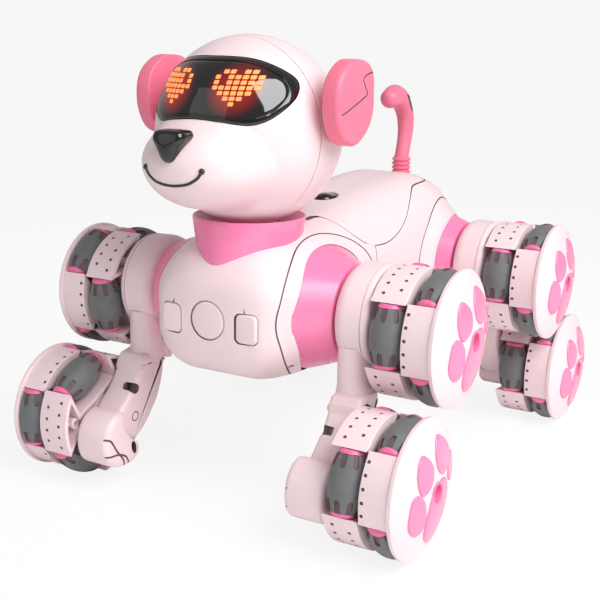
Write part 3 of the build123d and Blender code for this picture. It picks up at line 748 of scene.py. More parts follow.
def roller_places(s, from_angle):
    """Placement of a row's three rollers: each one's own X is its pin."""
    spots = []
    for third in range(3):
        spin = Matrix.Rotation(from_angle + third * tau / 3, 4, "Z")
        upright = Matrix(((0, -1, 0, 0), (1, 0, 0, 0), (0, 0, 1, 0), (0, 0, 0, 1)))
        spots.append(spin @ Matrix.Translation((ROLLER_ORBIT, 0, s)) @ upright)
    return spots


def barrel_radius(x):
    """The rubber's profile: an arc of the wheel's own circle, so that the wheel rolls round."""
    return sqrt(WHEEL_RADIUS ** 2 - x ** 2) - ROLLER_ORBIT


def spread_over_wheel(piece):
    """Copy a roller's piece to its six places in the wheel."""
    bm = bmesh.new()
    for s, from_angle in ((ROW_WIDTH / 2, 0.0), (ROW_WIDTH * 1.5, pi / 3)):
        for spot in roller_places(s, from_angle):
            one = bmesh.new()
            one.from_mesh(piece.data)
            one.transform(Matrix.Scale(1 / MM, 4))
            one.transform(spot)
            copy = bpy.data.meshes.new("copy")
            one.to_mesh(copy)
            one.free()
            bm.from_mesh(copy)
            bpy.data.meshes.remove(copy)
    bm.transform(Matrix.Scale(MM, 4))
    bm.to_mesh(piece.data)
    bm.free()
    crease(piece.data, 32.0)


def treads_mesh():
    """Rubber barrels with round-ended finger slots."""
    sizes = settings().wheels
    bm = bmesh.new()
    half = ROLLER_HALF
    steps = [half * k / 12 for k in range(-12, 13)]
    profile = [(-half, 3.1), (-half, barrel_radius(half) - 0.35), (-half + 0.12, barrel_radius(half) - 0.1)]
    profile += [(x, barrel_radius(x)) for x in steps[1:-1]]
    profile += [(half - 0.12, barrel_radius(half) - 0.1), (half, barrel_radius(half) - 0.35), (half, 3.1)]
    turned(bm, profile, along_x(0, 0), 56, closed=True)
    treads = make_piece("treads", bm, "tread")
    cutter = bmesh.new()
    length, width = sizes.slot_length / MM, sizes.slot_width / MM
    depth = sizes.slot_depth / MM
    for side in (1, -1):
        for number in range(sizes.slot_count):
            spin = Matrix.Rotation(tau * number / sizes.slot_count, 4, "X")
            round_end = half - length + width / 2
            outline = [Vector((side * (half + 1.5), -width / 2)), Vector((side * (half + 1.5), width / 2))]
            outline += [Vector((side * (round_end - width / 2 * sin(a)), width / 2 * cos(a)))
                        for a in (pi * k / 8 for k in range(9))]

            def wall(x, y, level, spin=spin):
                slope = barrel_radius(min(abs(x), half))
                return spin @ Vector((x, y, slope - depth if level == 0 else slope + 2.0))

            slab(cutter, outline, 0, 1, wall)
    # The slots' faces take the groove finish: painted shade in the slots.
    carve(treads, cutter, "groove")
    spread_over_wheel(treads)
    return treads.data, treads


def cores_mesh():
    """Flanged nylon cores and their pins."""
    tip = ROLLER_HALF + 1.6
    pin_tip = tip + 2.0
    bm = bmesh.new()
    half_profile = [(ROLLER_HALF, 3.1), (ROLLER_HALF, barrel_radius(ROLLER_HALF) - 0.2)]
    half_profile += [(x, barrel_radius(x) - 0.05) for x in (ROLLER_HALF + 0.25, tip - 0.8, tip - 0.4)]
    half_profile += [(tip - 0.1, barrel_radius(tip) - 0.2), (tip, barrel_radius(tip) - 0.5), (tip, 2.6),
                     (tip - 0.5, 2.3), (tip - 0.5, 1.3), (pin_tip, 1.3), (pin_tip, 0.0)]
    profile = [(-x, r) for x, r in reversed(half_profile)] + half_profile
    turned(bm, profile, along_x(0, 0), 48)
    cores = make_piece("cores", bm, "core")
    spread_over_wheel(cores)
    return cores.data, cores


def mirrored_mesh(mesh):
    """The same mesh reflected across the wheel's plane."""
    bm = bmesh.new()
    bm.from_mesh(mesh)
    bm.transform(Matrix.Diagonal((1, 1, -1, 1)))
    bmesh.ops.reverse_faces(bm, faces=bm.faces)
    copy = mesh.copy()
    bm.to_mesh(copy)
    bm.free()
    return copy


def wheel_matrix(wheel, turn):
    """From the wheel's frame to the dog's, in metres. Right wheels use reflected meshes."""
    right = "right" in wheel
    axle = AXES[f"{wheel}_wheel_spin"]
    out = -1 if right else 1
    axes = Matrix(((0, 0, 1, 0), (1, 0, 0, 0), (0, 1, 0, 0), (0, 0, 0, 1)))
    place = Matrix.Translation(Vector((out * WHEEL_IN, axle.y, axle.z)) * MM)
    return place @ axes @ Matrix.Rotation(turn, 4, "Z")


class ROBOTDOG_OT_wheels(bpy.types.Operator):
    """Eight omni wheels: frame, cap, paw pads, treads and roller cores"""
    bl_idname = "robotdog.wheels"
    bl_label = "Wheels"

    def execute(self, context):
        parts = (
            ("frame", wheel_frame_mesh, "shell", "wheel_hub", True),
            ("cap", wheel_cap_mesh, "shell", "wheel_cap", True),
            ("paw_pads", paw_pads_mesh, "trim", None, False),
            ("treads", treads_mesh, "roller", "wheel_rollers", True),
            ("roller_cores", cores_mesh, "trim", None, True),
        )
        for label, make, slot, node, turns in parts:
            mesh, first = make()
            bpy.data.objects.remove(first)
            meshes = {"left": mesh, "right": mirrored_mesh(mesh)}
            for wheel, angle in WHEEL_TURN.items():
                side = "right" if "right" in wheel else "left"
                piece = bpy.data.objects.new(f"{wheel}_{label}", meshes[side])
                context.scene.collection.objects.link(piece)
                piece.matrix_world = wheel_matrix(wheel, pi - radians(angle) if turns else 0.0)
                hidden = [f"{wheel}_{node}"] if node else []
                settle(piece, f"{wheel}_wheel", slot, *hidden)
        return {"FINISHED"}


# ---- Legs: outlines are (y from the hip, z) of a leg that reaches forward -------------------------
THIGH_OUTLINE = (
    (-8.9, 57.0), (-10.3, 46.0), (-14.1, 36.8), (-19.2, 30.3), (-26.3, 23.3), (-33.5, 20.0), (-38.5, 22.6),
    (-43.2, 27.4), (-45.5, 32.2), (-43.9, 35.8), (-38.4, 40.9), (-32.4, 46.6), (-28.4, 52.0), (-25.4, 57.0),
    (-20.0, 58.6), (-14.0, 55.5),
)
KNEE_OUTLINE = (
    (-9.2, 52.0), (-8.5, 57.5), (-9.6, 60.4), (-19.2, 60.6), (-24.8, 59.6), (-27.6, 56.4), (-28.2, 52.0),
)
FOOT_OUTLINE = (
    (-34.0, 20.5), (-33.6, 15.5), (-37.6, 11.8), (-43.5, 11.0), (-50.5, 12.3), (-56.0, 16.0), (-58.2, 23.0),
    (-57.0, 30.5), (-52.5, 36.0), (-46.0, 38.2), (-40.0, 33.0), (-36.0, 26.0),
)
TOE_LINE = ((-62.0, 28.5), (-58.5, 28.2), (-55.0, 27.0), (-51.0, 21.0), (-46.5, 15.0), (-44.6, 8.0))
HEEL_LINE = ((-58.5, 19.6), (-50.4, 18.9), (-44.9, 16.4), (-42.6, 12.5))
HEEL_SLOT = (-38.7, 18.9)
THIGH_SCREW = (-32.2, 45.5)
THIGH_BOSS = (-33.0, 32.0)
LEG_ROUND = 3.0
COLUMN_RADIUS = 7.7
COLUMN_Y = -15.0
LUG_OUTLINE = ((-10.0, 57.0), (-10.0, 63.0), (-7.5, 65.0), (-2.0, 61.8), (0.3, 58.8), (-1.9, 53.4), (-4.6, 53.7))


def leg_place(leg):
    """Turns (x, y from the hip, z) of a front left leg into a point on this leg."""
    hip = AXES[f"{leg}_hip_swing"]
    reach = 1 if leg.startswith("front") else -1
    side = -1 if leg.endswith("right") else 1
    return lambda x, y, z: Vector((side * x, hip.y + reach * y, z))


def on_leg(place, y, z):
    """Turns (along X, across, up) round a cross axis at (y, z) into a point on a leg."""
    return lambda along, across, up: place(along, y + across, z + up)


def side_of(place):
    """Turns (y, z, x) of a side outline into a point on a leg."""
    return lambda y, z, x: place(x, y, z)


def leg_upper(leg, place):
    """Hip drum with its shaft, the round column, the knee cap and the lug behind it."""
    side_on = side_of(place)
    hip_z = AXES[f"{leg}_hip_swing"].z
    arc = [(LEG_IN + 6.9 * (1 - cos(a)), 16.6 + 7.3 * sin(a)) for a in (pi / 2 * k / 10 for k in range(11))]
    profile = [(LEG_IN - 9.0, 0.0), (LEG_IN - 9.0, 5.0), (LEG_IN - 0.2, 5.0), (LEG_IN, 15.9)] + arc
    profile += [(LEG_OUT - 2.2, 23.7), (LEG_OUT - 0.9, 23.3), (LEG_OUT - 0.25, 22.7), (LEG_OUT, 21.8)]
    profile.append((LEG_OUT, 0.0))
    drum = make_piece(f"{leg}_hip_drum", solid(turned, profile, on_leg(place, 0, hip_z), 96), "shell")
    profile = [(LEG_OUT - back, radius) for back, radius in ((3.3, 23.1), (3.3, 25), (2.7, 25), (2.7, 23.1))]
    carve(drum, solid(turned, profile, on_leg(place, 0, hip_z), 96, closed=True))
    middle = (LEG_IN + LEG_OUT) / 2
    bm = bmesh.new()
    rows = ((80.0, 0.0), (62.5, 0.0), (60.5, 0.35), (58.0, 0.6))
    skin(bm, [[place(middle + spot.x, COLUMN_Y + spot.y, z) for spot in ring(COLUMN_RADIUS + flare, 64)]
              for z, flare in rows])
    knee = [Vector(point) for point in KNEE_OUTLINE]
    slab(bm, knee, LEG_IN + 2.0, LEG_OUT, side_on, LEG_ROUND, 2.0)
    lug = [Vector(point) for point in LUG_OUTLINE]
    slab(bm, lug, LEG_IN + 3.5, LEG_IN + 12.0, side_on, 0.5, 0.5)
    join_into(drum, bm)
    return settle(drum, f"{leg}_leg", "shell", f"{leg}_leg_upper")


def leg_thigh(leg, place):
    """Thigh casing with its screw hole and moulded boss."""
    side_on = side_of(place)
    outline = smooth_line(THIGH_OUTLINE, 5, closed=True)
    face = LEG_IN + 2.0
    thigh = make_piece(f"{leg}_thigh", solid(slab, outline, face, LEG_OUT, side_on, LEG_ROUND, 2.0), "shell")
    hole = solid(turned, ((face - 1, 0), (face - 1, 2.6), (face + 0.3, 2.5), (face + 6, 2.2), (face + 6, 0)),
                 on_leg(place, *THIGH_SCREW), 32)
    carve(thigh, hole, "groove")
    boss = solid(turned, ((face - 1, 1.9), (face - 1, 2.5), (face + 0.5, 2.4), (face + 0.5, 2.0)),
                 on_leg(place, *THIGH_BOSS), 32, closed=True)
    carve(thigh, boss, "groove")
    profile = [(face + deep, radius) for deep, radius in ((5.9, 0), (5.9, 2.1), (4.9, 1.9), (4.7, 1.2), (4.9, 0))]
    screw = solid(turned, profile, on_leg(place, *THIGH_SCREW), 24)
    settle(make_piece(f"{leg}_thigh_screw", screw, "screw"), f"{leg}_leg", "motor")
    return settle(thigh, f"{leg}_leg", "shell", f"{leg}_leg_thigh")


def leg_foot(leg, place):
    """Boot round the thigh's lower end, with a toe-cap line and the heel's screw slot."""
    side_on = side_of(place)
    line = settings().shells.line_width / MM / 2
    bm = bmesh.new()
    low = LEG_IN - 1.5
    outline = smooth_line(FOOT_OUTLINE, 6, closed=True)
    slab(bm, outline, low, LEG_OUT, side_on, LEG_ROUND, LEG_ROUND)
    foot = make_piece(f"{leg}_boot", bm, "shell")
    grown = shrink(smooth_line(THIGH_OUTLINE, 5, closed=True), -0.35)
    carve(foot, solid(slab, grown, low - 4, LEG_OUT + 4, side_on))
    for points in (TOE_LINE, HEEL_LINE):
        cutter = bmesh.new()
        path = []
        for point in smooth_line(points, 6):
            edge = min((point - spot).length for spot in outline)
            inset = max(LEG_ROUND - edge, 0.0)
            path.append(place(low + LEG_ROUND - sqrt(LEG_ROUND ** 2 - inset ** 2), point.x, point.y))
        tube(cutter, path, line * 1.3)
        carve(foot, cutter, "groove")
    carve(foot, solid(slab, oval(HEEL_SLOT, 1.7, 3.4, 14, 24), low - 2, low + 5, side_on), "groove")
    return settle(foot, f"{leg}_leg", "shell", f"{leg}_foot")


class ROBOTDOG_OT_legs(bpy.types.Operator):
    """Four legs: hip drum with its column, thigh and boot"""
    bl_idname = "robotdog.legs"
    bl_label = "Legs"

    def execute(self, context):
        for leg in LEGS:
            place = leg_place(leg)
            leg_upper(leg, place)
            leg_thigh(leg, place)
            leg_foot(leg, place)
        return {"FINISHED"}


# ---- Body ---------------------------------------------------------------------------------------
def eased(stations, at):
    """Values between stations, smooth and never beyond a station's own value."""
    xs = [station[0] for station in stations]
    number = max(k for k in range(len(xs) - 1) if xs[k] <= at or k == 0)
    span = xs[number + 1] - xs[number]
    t = min(max((at - xs[number]) / span, 0.0), 1.0)
    values = []
    for channel in range(1, len(stations[0])):
        ys = [station[channel] for station in stations]
        steps = [(b - a) / (q - p) for p, q, a, b in zip(xs, xs[1:], ys, ys[1:])]

        def slope(k):
            if k == 0:
                return steps[0] * 1.4
            if k == len(steps):
                return steps[-1] * 1.4
            before, after = steps[k - 1], steps[k]
            return 0.0 if before * after <= 0 else 2 * before * after / (before + after)

        low, high = ys[number], ys[number + 1]
        values.append((2 * t ** 3 - 3 * t ** 2 + 1) * low + (t ** 3 - 2 * t ** 2 + t) * span * slope(number)
                      + (3 * t ** 2 - 2 * t ** 3) * high + (t ** 3 - t ** 2) * span * slope(number + 1))
    return values


def section_parts(y, inset=0.0):
    """Half width, half height, middle, corner radius and the lengths of the section's half outline."""
    half, low, high = eased(TORSO_SECTIONS, y)
    half, up = half - inset, (high - low) / 2 - inset
    corner = SECTION_CORNER * min(half, up)
    return half, up, (high + low) / 2, corner, half - corner, pi / 2 * corner, 2 * (up - corner)


def torso_point(y, t, side, inset=0.0):
    """A point on the torso: t runs from 0 under the belly to 1 on top of the back."""
    half, up, middle, corner, flat, arc, wall = section_parts(y, inset)
    run = t * (2 * flat + 2 * arc + wall)
    if run <= flat:
        x, z = run, -up
    elif run <= flat + arc:
        angle = (run - flat) / corner
        x, z = flat + corner * sin(angle), corner - up - corner * cos(angle)
    elif run <= flat + arc + wall:
        x, z = half, corner - up + run - flat - arc
    elif run <= flat + 2 * arc + wall:
        angle = (run - flat - arc - wall) / corner
        x, z = flat + corner * cos(angle), up - corner + corner * sin(angle)
    else:
        x, z = 2 * flat + 2 * arc + wall - run, up
    shells = settings().shells
    lift = 0.0
    for hip, height, reach in (("front_left_hip_swing", shells.fender_lift / MM, 3.0),
                               ("rear_left_hip_swing", 3.5 * shells.fender_lift / MM, 9.0)):
        away = hypot(y - AXES[hip].y, middle + z - AXES[hip].z)
        share = min(max((shells.fender_dia / MM / 2 + 1.0 - away) / reach, 0.0), 1.0)
        lift += height * share * share * (3 - 2 * share)
    return Vector((side * (x + lift * min(x / half, 1.0) ** 2), y, middle + z))


def steps_between(start, stop, pitch):
    count = max(int(round(abs(stop - start) / pitch)), 1)
    return [start + (stop - start) * k / count for k in range(count + 1)]


def torso_solid(inset):
    """The whole torso as one closed solid, moved inwards by a distance."""
    front, rear = TORSO_SECTIONS[0][0] + inset, TORSO_SECTIONS[-1][0] - inset
    ys = steps_between(front, DOMES[0], 0.8)[:-1] + steps_between(*DOMES, 1.6)[:-1]
    ys += steps_between(DOMES[1], rear, 0.9)
    ts = [k / 64 for k in range(65)]
    around = [(t, 1) for t in ts] + [(t, -1) for t in ts[-2:0:-1]]
    return solid(skin, [[torso_point(y, t, side, inset) for t, side in around] for y in ys])


def across_block(outline):
    """A (y, z) outline run through the whole width of the body."""
    return solid(slab, [Vector(point) for point in outline], -70, 70, lambda y, z, x: Vector((x, y, z)))


def wave_block(lift, far_z):
    """Everything between the cover's wavy seam, moved up by a distance, and a level far above or below it."""
    line = [(point.x, point.y + lift) for point in smooth_line(COVER_WAVE, 5)]
    return across_block(line + [(COVER_REAR, far_z), (COVER_FRONT, far_z)])


def outward(piece, centre):
    """Turn the faces of an open skin away from a point inside it."""
    mesh = piece.data
    tilt = sum((polygon.center - centre * MM).dot(polygon.normal) * polygon.area for polygon in mesh.polygons)
    if tilt < 0:
        mesh.flip_normals()


def hip_ring_path(hip, front, side):
    """The moulded line round a hip, on the casing's surface."""
    centre, across, up = ((4.0, 0.0), 42.2, 32.0) if front else ((0.0, 0.0), 34.0, 34.0)
    path = []
    for spot in oval(centre, across, up, 0, 120):
        y, z = hip.y + spot.x, hip.z + spot.y
        half, high, middle, corner, flat = section_parts(y)[:5]
        over = abs(z - middle) - (high - corner)
        x = half if over <= 0 else flat + sqrt(max(corner ** 2 - over ** 2, 0.0))
        path.append(Vector((side * (x + 0.1), y, z)))
    return path


def sleeve_cone(front, hip, side, start, stop, grow):
    """The solid of a hip sleeve, wider along the body at its root, between two distances from the middle."""
    shift, across, up = (3.0, 36.5, 27.3) if front else (0.0, 27.5, 27.5)
    rows = []
    for x in steps_between(start, stop, 3.0):
        share = (SLEEVE_TIP_X - x) / (SLEEVE_TIP_X - SLEEVE_ROOT_X)
        rows.append([Vector((side * x, hip.y + spot.x, hip.z + spot.y)) for spot in oval(
            (shift * share, 0.0), SLEEVE_TIP + grow + (across - SLEEVE_TIP) * share,
            SLEEVE_TIP + grow + (up - SLEEVE_TIP) * share, 0, 96)])
    return solid(skin, rows)


def heart_recess(bm, side):
    """Heart-shaped screw recess under the front hip's fender."""
    outline = smooth_line(((0, -4.2), (3.0, -0.8), (3.4, 2.2), (1.8, 3.6), (0.0, 2.2), (-1.8, 3.6), (-3.4, 2.2),
                           (-3.0, -0.8)), 4, closed=True)
    centre = Vector((side * 33.5, -84.5, 64.5))
    out = Vector((side * 0.72, -0.42, -0.55)).normalized()
    across = out.cross(Vector((0, 0, 1))).normalized() * side
    up = across.cross(out) * side
    slab(bm, outline, -4.0, 6.0, lambda u, v, depth: centre + across * u + up * v + out * depth)


class ROBOTDOG_OT_body(bpy.types.Operator):
    """Chest casing, rear casing and wavy back cover, with their openings and moulded lines"""
    bl_idname = "robotdog.body"
    bl_label = "Body casings"

    def execute(self, context):
        shells = settings().shells
        gap = shells.seam_gap / MM
        line = shells.line_width / MM / 2
        casings = {}
        front, rear, seam = COVER_FRONT, COVER_REAR, FLANK_SEAM_Y
        blocks = {
            "chest_casing": (wave_block(-gap / 2, 160), across_block(
                ((seam - gap / 2, 20), (150, 20), (150, 160), (seam - gap / 2, 160)))),
            "rear_casing": (wave_block(-gap / 2, 160), across_block(
                ((-150, 20), (seam + gap / 2, 20), (seam + gap / 2, 160), (-150, 160)))),
            "back_casing": (wave_block(gap / 2, 20), across_block(
                ((-150, 20), (front + gap / 2, 20), (front + gap / 2, 160), (-150, 160))), across_block(
                ((rear - gap / 2, 20), (150, 20), (150, 160), (rear - gap / 2, 160)))),
        }
        nodes = {"chest_casing": "chest_shell", "rear_casing": "rear_shell", "back_casing": "back_cover"}
        for name, cutters in blocks.items():
            casing = make_piece(name, torso_solid(0.0), "shell")
            carve(casing, torso_solid(shells.wall / MM))
            # The seam faces between the casings take the groove finish: painted shade between the parts.
            for cutter in cutters:
                carve(casing, cutter, "groove")
            casings[name] = settle(casing, "torso", "shell", nodes[name])
        for name, hip_name in (("chest_casing", "front_left_hip_swing"), ("rear_casing", "rear_left_hip_swing")):
            hip = AXES[hip_name]
            for side in (1, -1):
                carve(casings[name], sleeve_cone(name == "chest_casing", hip, side, 18.0, 60.0, 0.35))
                groove = solid(tube, hip_ring_path(hip, name == "chest_casing", side), line, closed=True)
                carve(casings[name], groove, "groove")
        self.open_chest(casings["chest_casing"])
        low, high = cad_box("back_button")
        top = (low + high) / 2
        profile = ((100, 0), (100, 7.3), (150, 7.3), (150, 0))
        carve(casings["back_casing"], solid(turned, profile, along_z(top.x, top.y), 48))
        seat = bmesh.new()
        tail = AXES["tail_swing"]
        turned(seat, ((120, 0), (120, 6.1), (150, 6.1), (150, 0)), along_z(0, tail.y), 48)
        carve(casings["rear_casing"], seat)
        return {"FINISHED"}

    def open_chest(self, chest):
        """Key holes, the badge's seat and the two heart-shaped screw recesses."""
        cutter = bmesh.new()
        low, high = cad_box("chest_button_left")
        middle, half = (low + high) / 2, (high - low) / 2
        for side in (1, -1):
            outline = rounded_box(half.x + 0.35, half.z + 0.35, 2.8)
            slab(cutter, outline, -125, -92,
                 lambda x, z, y, side=side: Vector((side * middle.x + x, y, middle.z + z)))
        carve(chest, cutter, "groove")
        ring_line = bmesh.new()
        low, high = cad_box("chest_disc")
        radius, height = (high.x - low.x) / 2, (low.z + high.z) / 2
        turned(ring_line, ((-110, radius - 0.05), (-110, radius + 0.35), (-103.6, radius + 0.35),
                           (-103.6, radius - 0.05)),
               along_y(0, height), 64, closed=True)
        carve(chest, ring_line, "groove")
        for side in (1, -1):
            recess = bmesh.new()
            heart_recess(recess, side)
            carve(chest, recess, "groove")


class ROBOTDOG_OT_sleeves(bpy.types.Operator):
    """Four bright cones between the body and the legs"""
    bl_idname = "robotdog.sleeves"
    bl_label = "Hip sleeves"

    def execute(self, context):
        cones = None
        for hip_name in ("front_left_hip_swing", "rear_left_hip_swing"):
            hip = AXES[hip_name]
            front = hip_name.startswith("front")
            for side in (1, -1):
                cone = make_piece("hip_cones", sleeve_cone(front, hip, side, 30.0, 48.0, 0.0), "trim")
                bore = solid(turned, ((28.0, 0), (28.0, 19.0), (46.0, 19.0), (46.0, 5.1), (50.0, 5.1), (50.0, 0)),
                             along_x(hip.y, hip.z, side), 96)
                carve(cone, bore)
                if cones:
                    more = bmesh.new()
                    more.from_mesh(cone.data)
                    more.transform(Matrix.Scale(1 / MM, 4))
                    bpy.data.objects.remove(cone)
                    join_into(cones, more)
                else:
                    cones = cone
        settle(cones, "torso", "trim", "hip_sleeves")
        return {"FINISHED"}


class ROBOTDOG_OT_collar(bpy.types.Operator):
    """Collar cup whose front runs down the chest as a pointed bib"""
    bl_idname = "robotdog.collar"
    bl_label = "Collar"

    def execute(self, context):
        bm = bmesh.new()
        rows = []
        for z, radius, bib in ((106.0, 20.0, 7.5), (112.0, 21.8, 6.2), (118.0, 23.2, 4.2), (124.0, 24.4, 2.2),
                               (129.6, 25.3, 0.5), (130.6, 25.3, 0.1), (131.0, 24.9, 0.0), (130.6, 24.2, 0.0),
                               (127.0, 19.5, 0.0), (124.9, 13.0, 0.0), (124.0, 6.0, 0.0), (143.0, 6.0, 0.0),
                               (143.9, 5.2, 0.0)):
            row = []
            for k in range(96):
                angle = tau * k / 96
                front = max(-sin(angle), 0.0) ** 5
                reach = radius + bib * front
                row.append(Vector((HEAD.x + reach * cos(angle), HEAD.y + reach * sin(angle), z)))
            rows.append(row)
        skin(bm, rows)
        settle(make_piece("collar", bm, "trim"), "torso", "trim", "neck_collar")
        return {"FINISHED"}


class ROBOTDOG_OT_keys(bpy.types.Operator):
    """Chest keys, chest badge and the black button on the back"""
    bl_idname = "robotdog.keys"
    bl_label = "Keys and button"

    def execute(self, context):
        for side in ("left", "right"):
            low, high = cad_box(f"chest_button_{side}")
            middle, half = (low + high) / 2, (high - low) / 2
            bm = bmesh.new()
            outline = rounded_box(half.x, half.z, 2.5)
            slab(bm, outline, -high.y, -low.y,
                 lambda x, z, depth: Vector((middle.x + x, -depth, middle.z + z)), 0.0, 1.1)
            settle(make_piece(f"chest_key_{side}", bm, "shell"), f"chest_button_{side}", "shell",
                   f"chest_button_{side}")
        low, high = cad_box("chest_disc")
        middle, radius = (low + high) / 2, (high.x - low.x) / 2
        profile = ((low.y + 2.6, 0), (low.y + 2.6, radius - 0.1), (low.y + 0.55, radius - 0.1),
                   (low.y + 0.2, radius - 0.5), (low.y + 0.05, radius - 1.2), (low.y, 0))
        bm = solid(turned, profile, along_y(middle.x, middle.z), 64)
        settle(make_piece("chest_badge", bm, "shell"), "torso", "shell", "chest_disc")
        low, high = cad_box("back_button")
        middle, radius = (low + high) / 2, (high.x - low.x) / 2
        crown = high.z - 3.0
        quarter = [pi / 2 * k / 10 for k in range(10, -1, -1)]
        dome = [(crown + 3.0 * cos(a), (radius - 1.9) * sin(a)) for a in quarter]
        bm = solid(turned, [(low.z, 0), (low.z, radius), (crown - 0.5, radius), (crown - 0.1, radius - 0.3),
                        (crown, radius - 0.8), (crown, radius - 1.7)] + dome, along_z(middle.x, middle.y), 64)
        settle(make_piece("back_dome_button", bm, "gloss"), "back_button", "gloss_black", "back_button")
        return {"FINISHED"}


class ROBOTDOG_OT_battery_door(bpy.types.Operator):
    """Battery door under the belly, with grip ribs and a screw"""
    bl_idname = "robotdog.battery_door"
    bl_label = "Battery door"

    def execute(self, context):
        low, high = cad_box("battery_door")
        middle, half = (low + high) / 2, (high - low) / 2
        bm = solid(slab, rounded_box(half.x - 0.2, half.y - 0.2, 4.0), -high.z, -low.z,
                   lambda x, y, depth: Vector((middle.x + x, middle.y + y, -depth)), 0.0, 0.5)
        door = make_piece("battery_hatch", bm, "shell")
        cutter = bmesh.new()
        for number in range(5):
            y = high.y - 8.0 - number * 2.4
            tube(cutter, [Vector((x, y, low.z)) for x in (-9, 0, 9)], 0.6)
        turned(cutter, ((low.z - 1, 0), (low.z - 1, 2.6), (low.z + 1.2, 2.4), (low.z + 1.2, 0)),
               along_z(0, low.y + 5.5), 24)
        carve(door, cutter, "groove")
        settle(door, "torso", "shell", "battery_door")
        profile = [(low.z + up, radius) for up, radius in ((0.5, 0), (0.6, 1.2), (0.8, 2.1), (1.3, 2.1), (1.3, 0))]
        screw = solid(turned, profile, along_z(0, low.y + 5.5), 24)
        settle(make_piece("battery_hatch_screw", screw, "screw"), "torso", "motor")
        return {"FINISHED"}


# ---- Head ---------------------------------------------------------------------------------------
def head_point(polar, around):
    """Skull and muzzle blended into one skin. polar runs from 0 in front to pi at the back."""
    out = Vector((sin(polar) * cos(around), -cos(polar), sin(polar) * sin(around)))
    start = Vector([(HEAD[k] - MUZZLE[k]) / MUZZLE_RADII[k] for k in range(3)])
    step = Vector([out[k] / MUZZLE_RADII[k] for k in range(3)])
    a, b, c = step.dot(step), start.dot(step), start.dot(start) - 1
    inside = b * b - a * c
    muzzle = (-b + sqrt(inside)) / a if inside > 0 else 0.0
    near = max(MUZZLE_BLEND - abs(HEAD_RADIUS - muzzle), 0.0) / MUZZLE_BLEND
    radius = max(HEAD_RADIUS, muzzle) + near * near * MUZZLE_BLEND / 4
    return HEAD + out * radius


def head_rows(start, stop, count, around_count=144):
    rows = []
    for step in range(count + 1):
        polar = start + (stop - start) * step / count
        rows.append([head_point(polar, tau * k / around_count) for k in range(around_count)])
    return rows


def on_skull(x, z, offset):
    """A point in front of the skull at (x, z), offset from its surface."""
    radius = HEAD_RADIUS + offset
    return Vector((x, HEAD.y - sqrt(max(radius ** 2 - x ** 2 - (z - HEAD.z) ** 2, 0.0)), z))


def visor_outline(steps=8):
    """Goggle outline round its own middle."""
    left = [(-across, up) for across, up in reversed(VISOR_SHAPE[1:])]
    shape = list(VISOR_SHAPE) + [(0, -0.67)] + left
    points = [(across * VISOR_HALF[0], up * VISOR_HALF[1]) for across, up in shape]
    return smooth_line(points, steps, closed=True)


def visor_solid(bm, levels):
    """A goggle-shaped solid from rows of (inset, share of the outline, offset from the skull)."""
    outline = visor_outline()
    rows = []
    for inset, share, offset in levels:
        rows.append([on_skull(point.x * share, VISOR_Z + point.y * share, offset)
                     for point in shrink(outline, inset)])
    skin(bm, rows)


class ROBOTDOG_OT_head(bpy.types.Operator):
    """Front and rear casings of the head"""
    bl_idname = "robotdog.head"
    bl_label = "Head casings"

    def execute(self, context):
        shells = settings().shells
        seam = acos((HEAD.y - HEAD_SEAM_Y) / HEAD_RADIUS)
        gap = shells.seam_gap / MM / 2 / HEAD_RADIUS
        bm = solid(skin, head_rows(0.0, seam - gap, 90), ends=False)
        face = make_piece("head_front_casing", bm, "shell", 60)
        bm = solid(skin, head_rows(seam + gap, pi, 60), ends=False)
        back = make_piece("head_rear_casing", bm, "shell", 60)
        for casing in (face, back):
            outward(casing, HEAD)
            thicken(casing, shells.wall, 0.0003)
        room = bmesh.new()
        visor_solid(room, [(-0.3, share, -3.0) for share in (0.02, 0.3, 0.6, 1.0)]
                    + [(-0.3, share, 9.0) for share in (1.0, 0.6, 0.3, 0.02)])
        carve(face, room)
        for side in (1, -1):
            ear = AXES["ear_left_swing"]
            profile = ((20, 0), (20, 4.6), (60, 4.6), (60, 0))
            carve(back, solid(turned, profile, along_x(ear.y, ear.z, side), 32))
        settle(face, "head", "shell", "head_front_shell")
        settle(back, "head", "shell", "head_rear_shell")
        return {"FINISHED"}


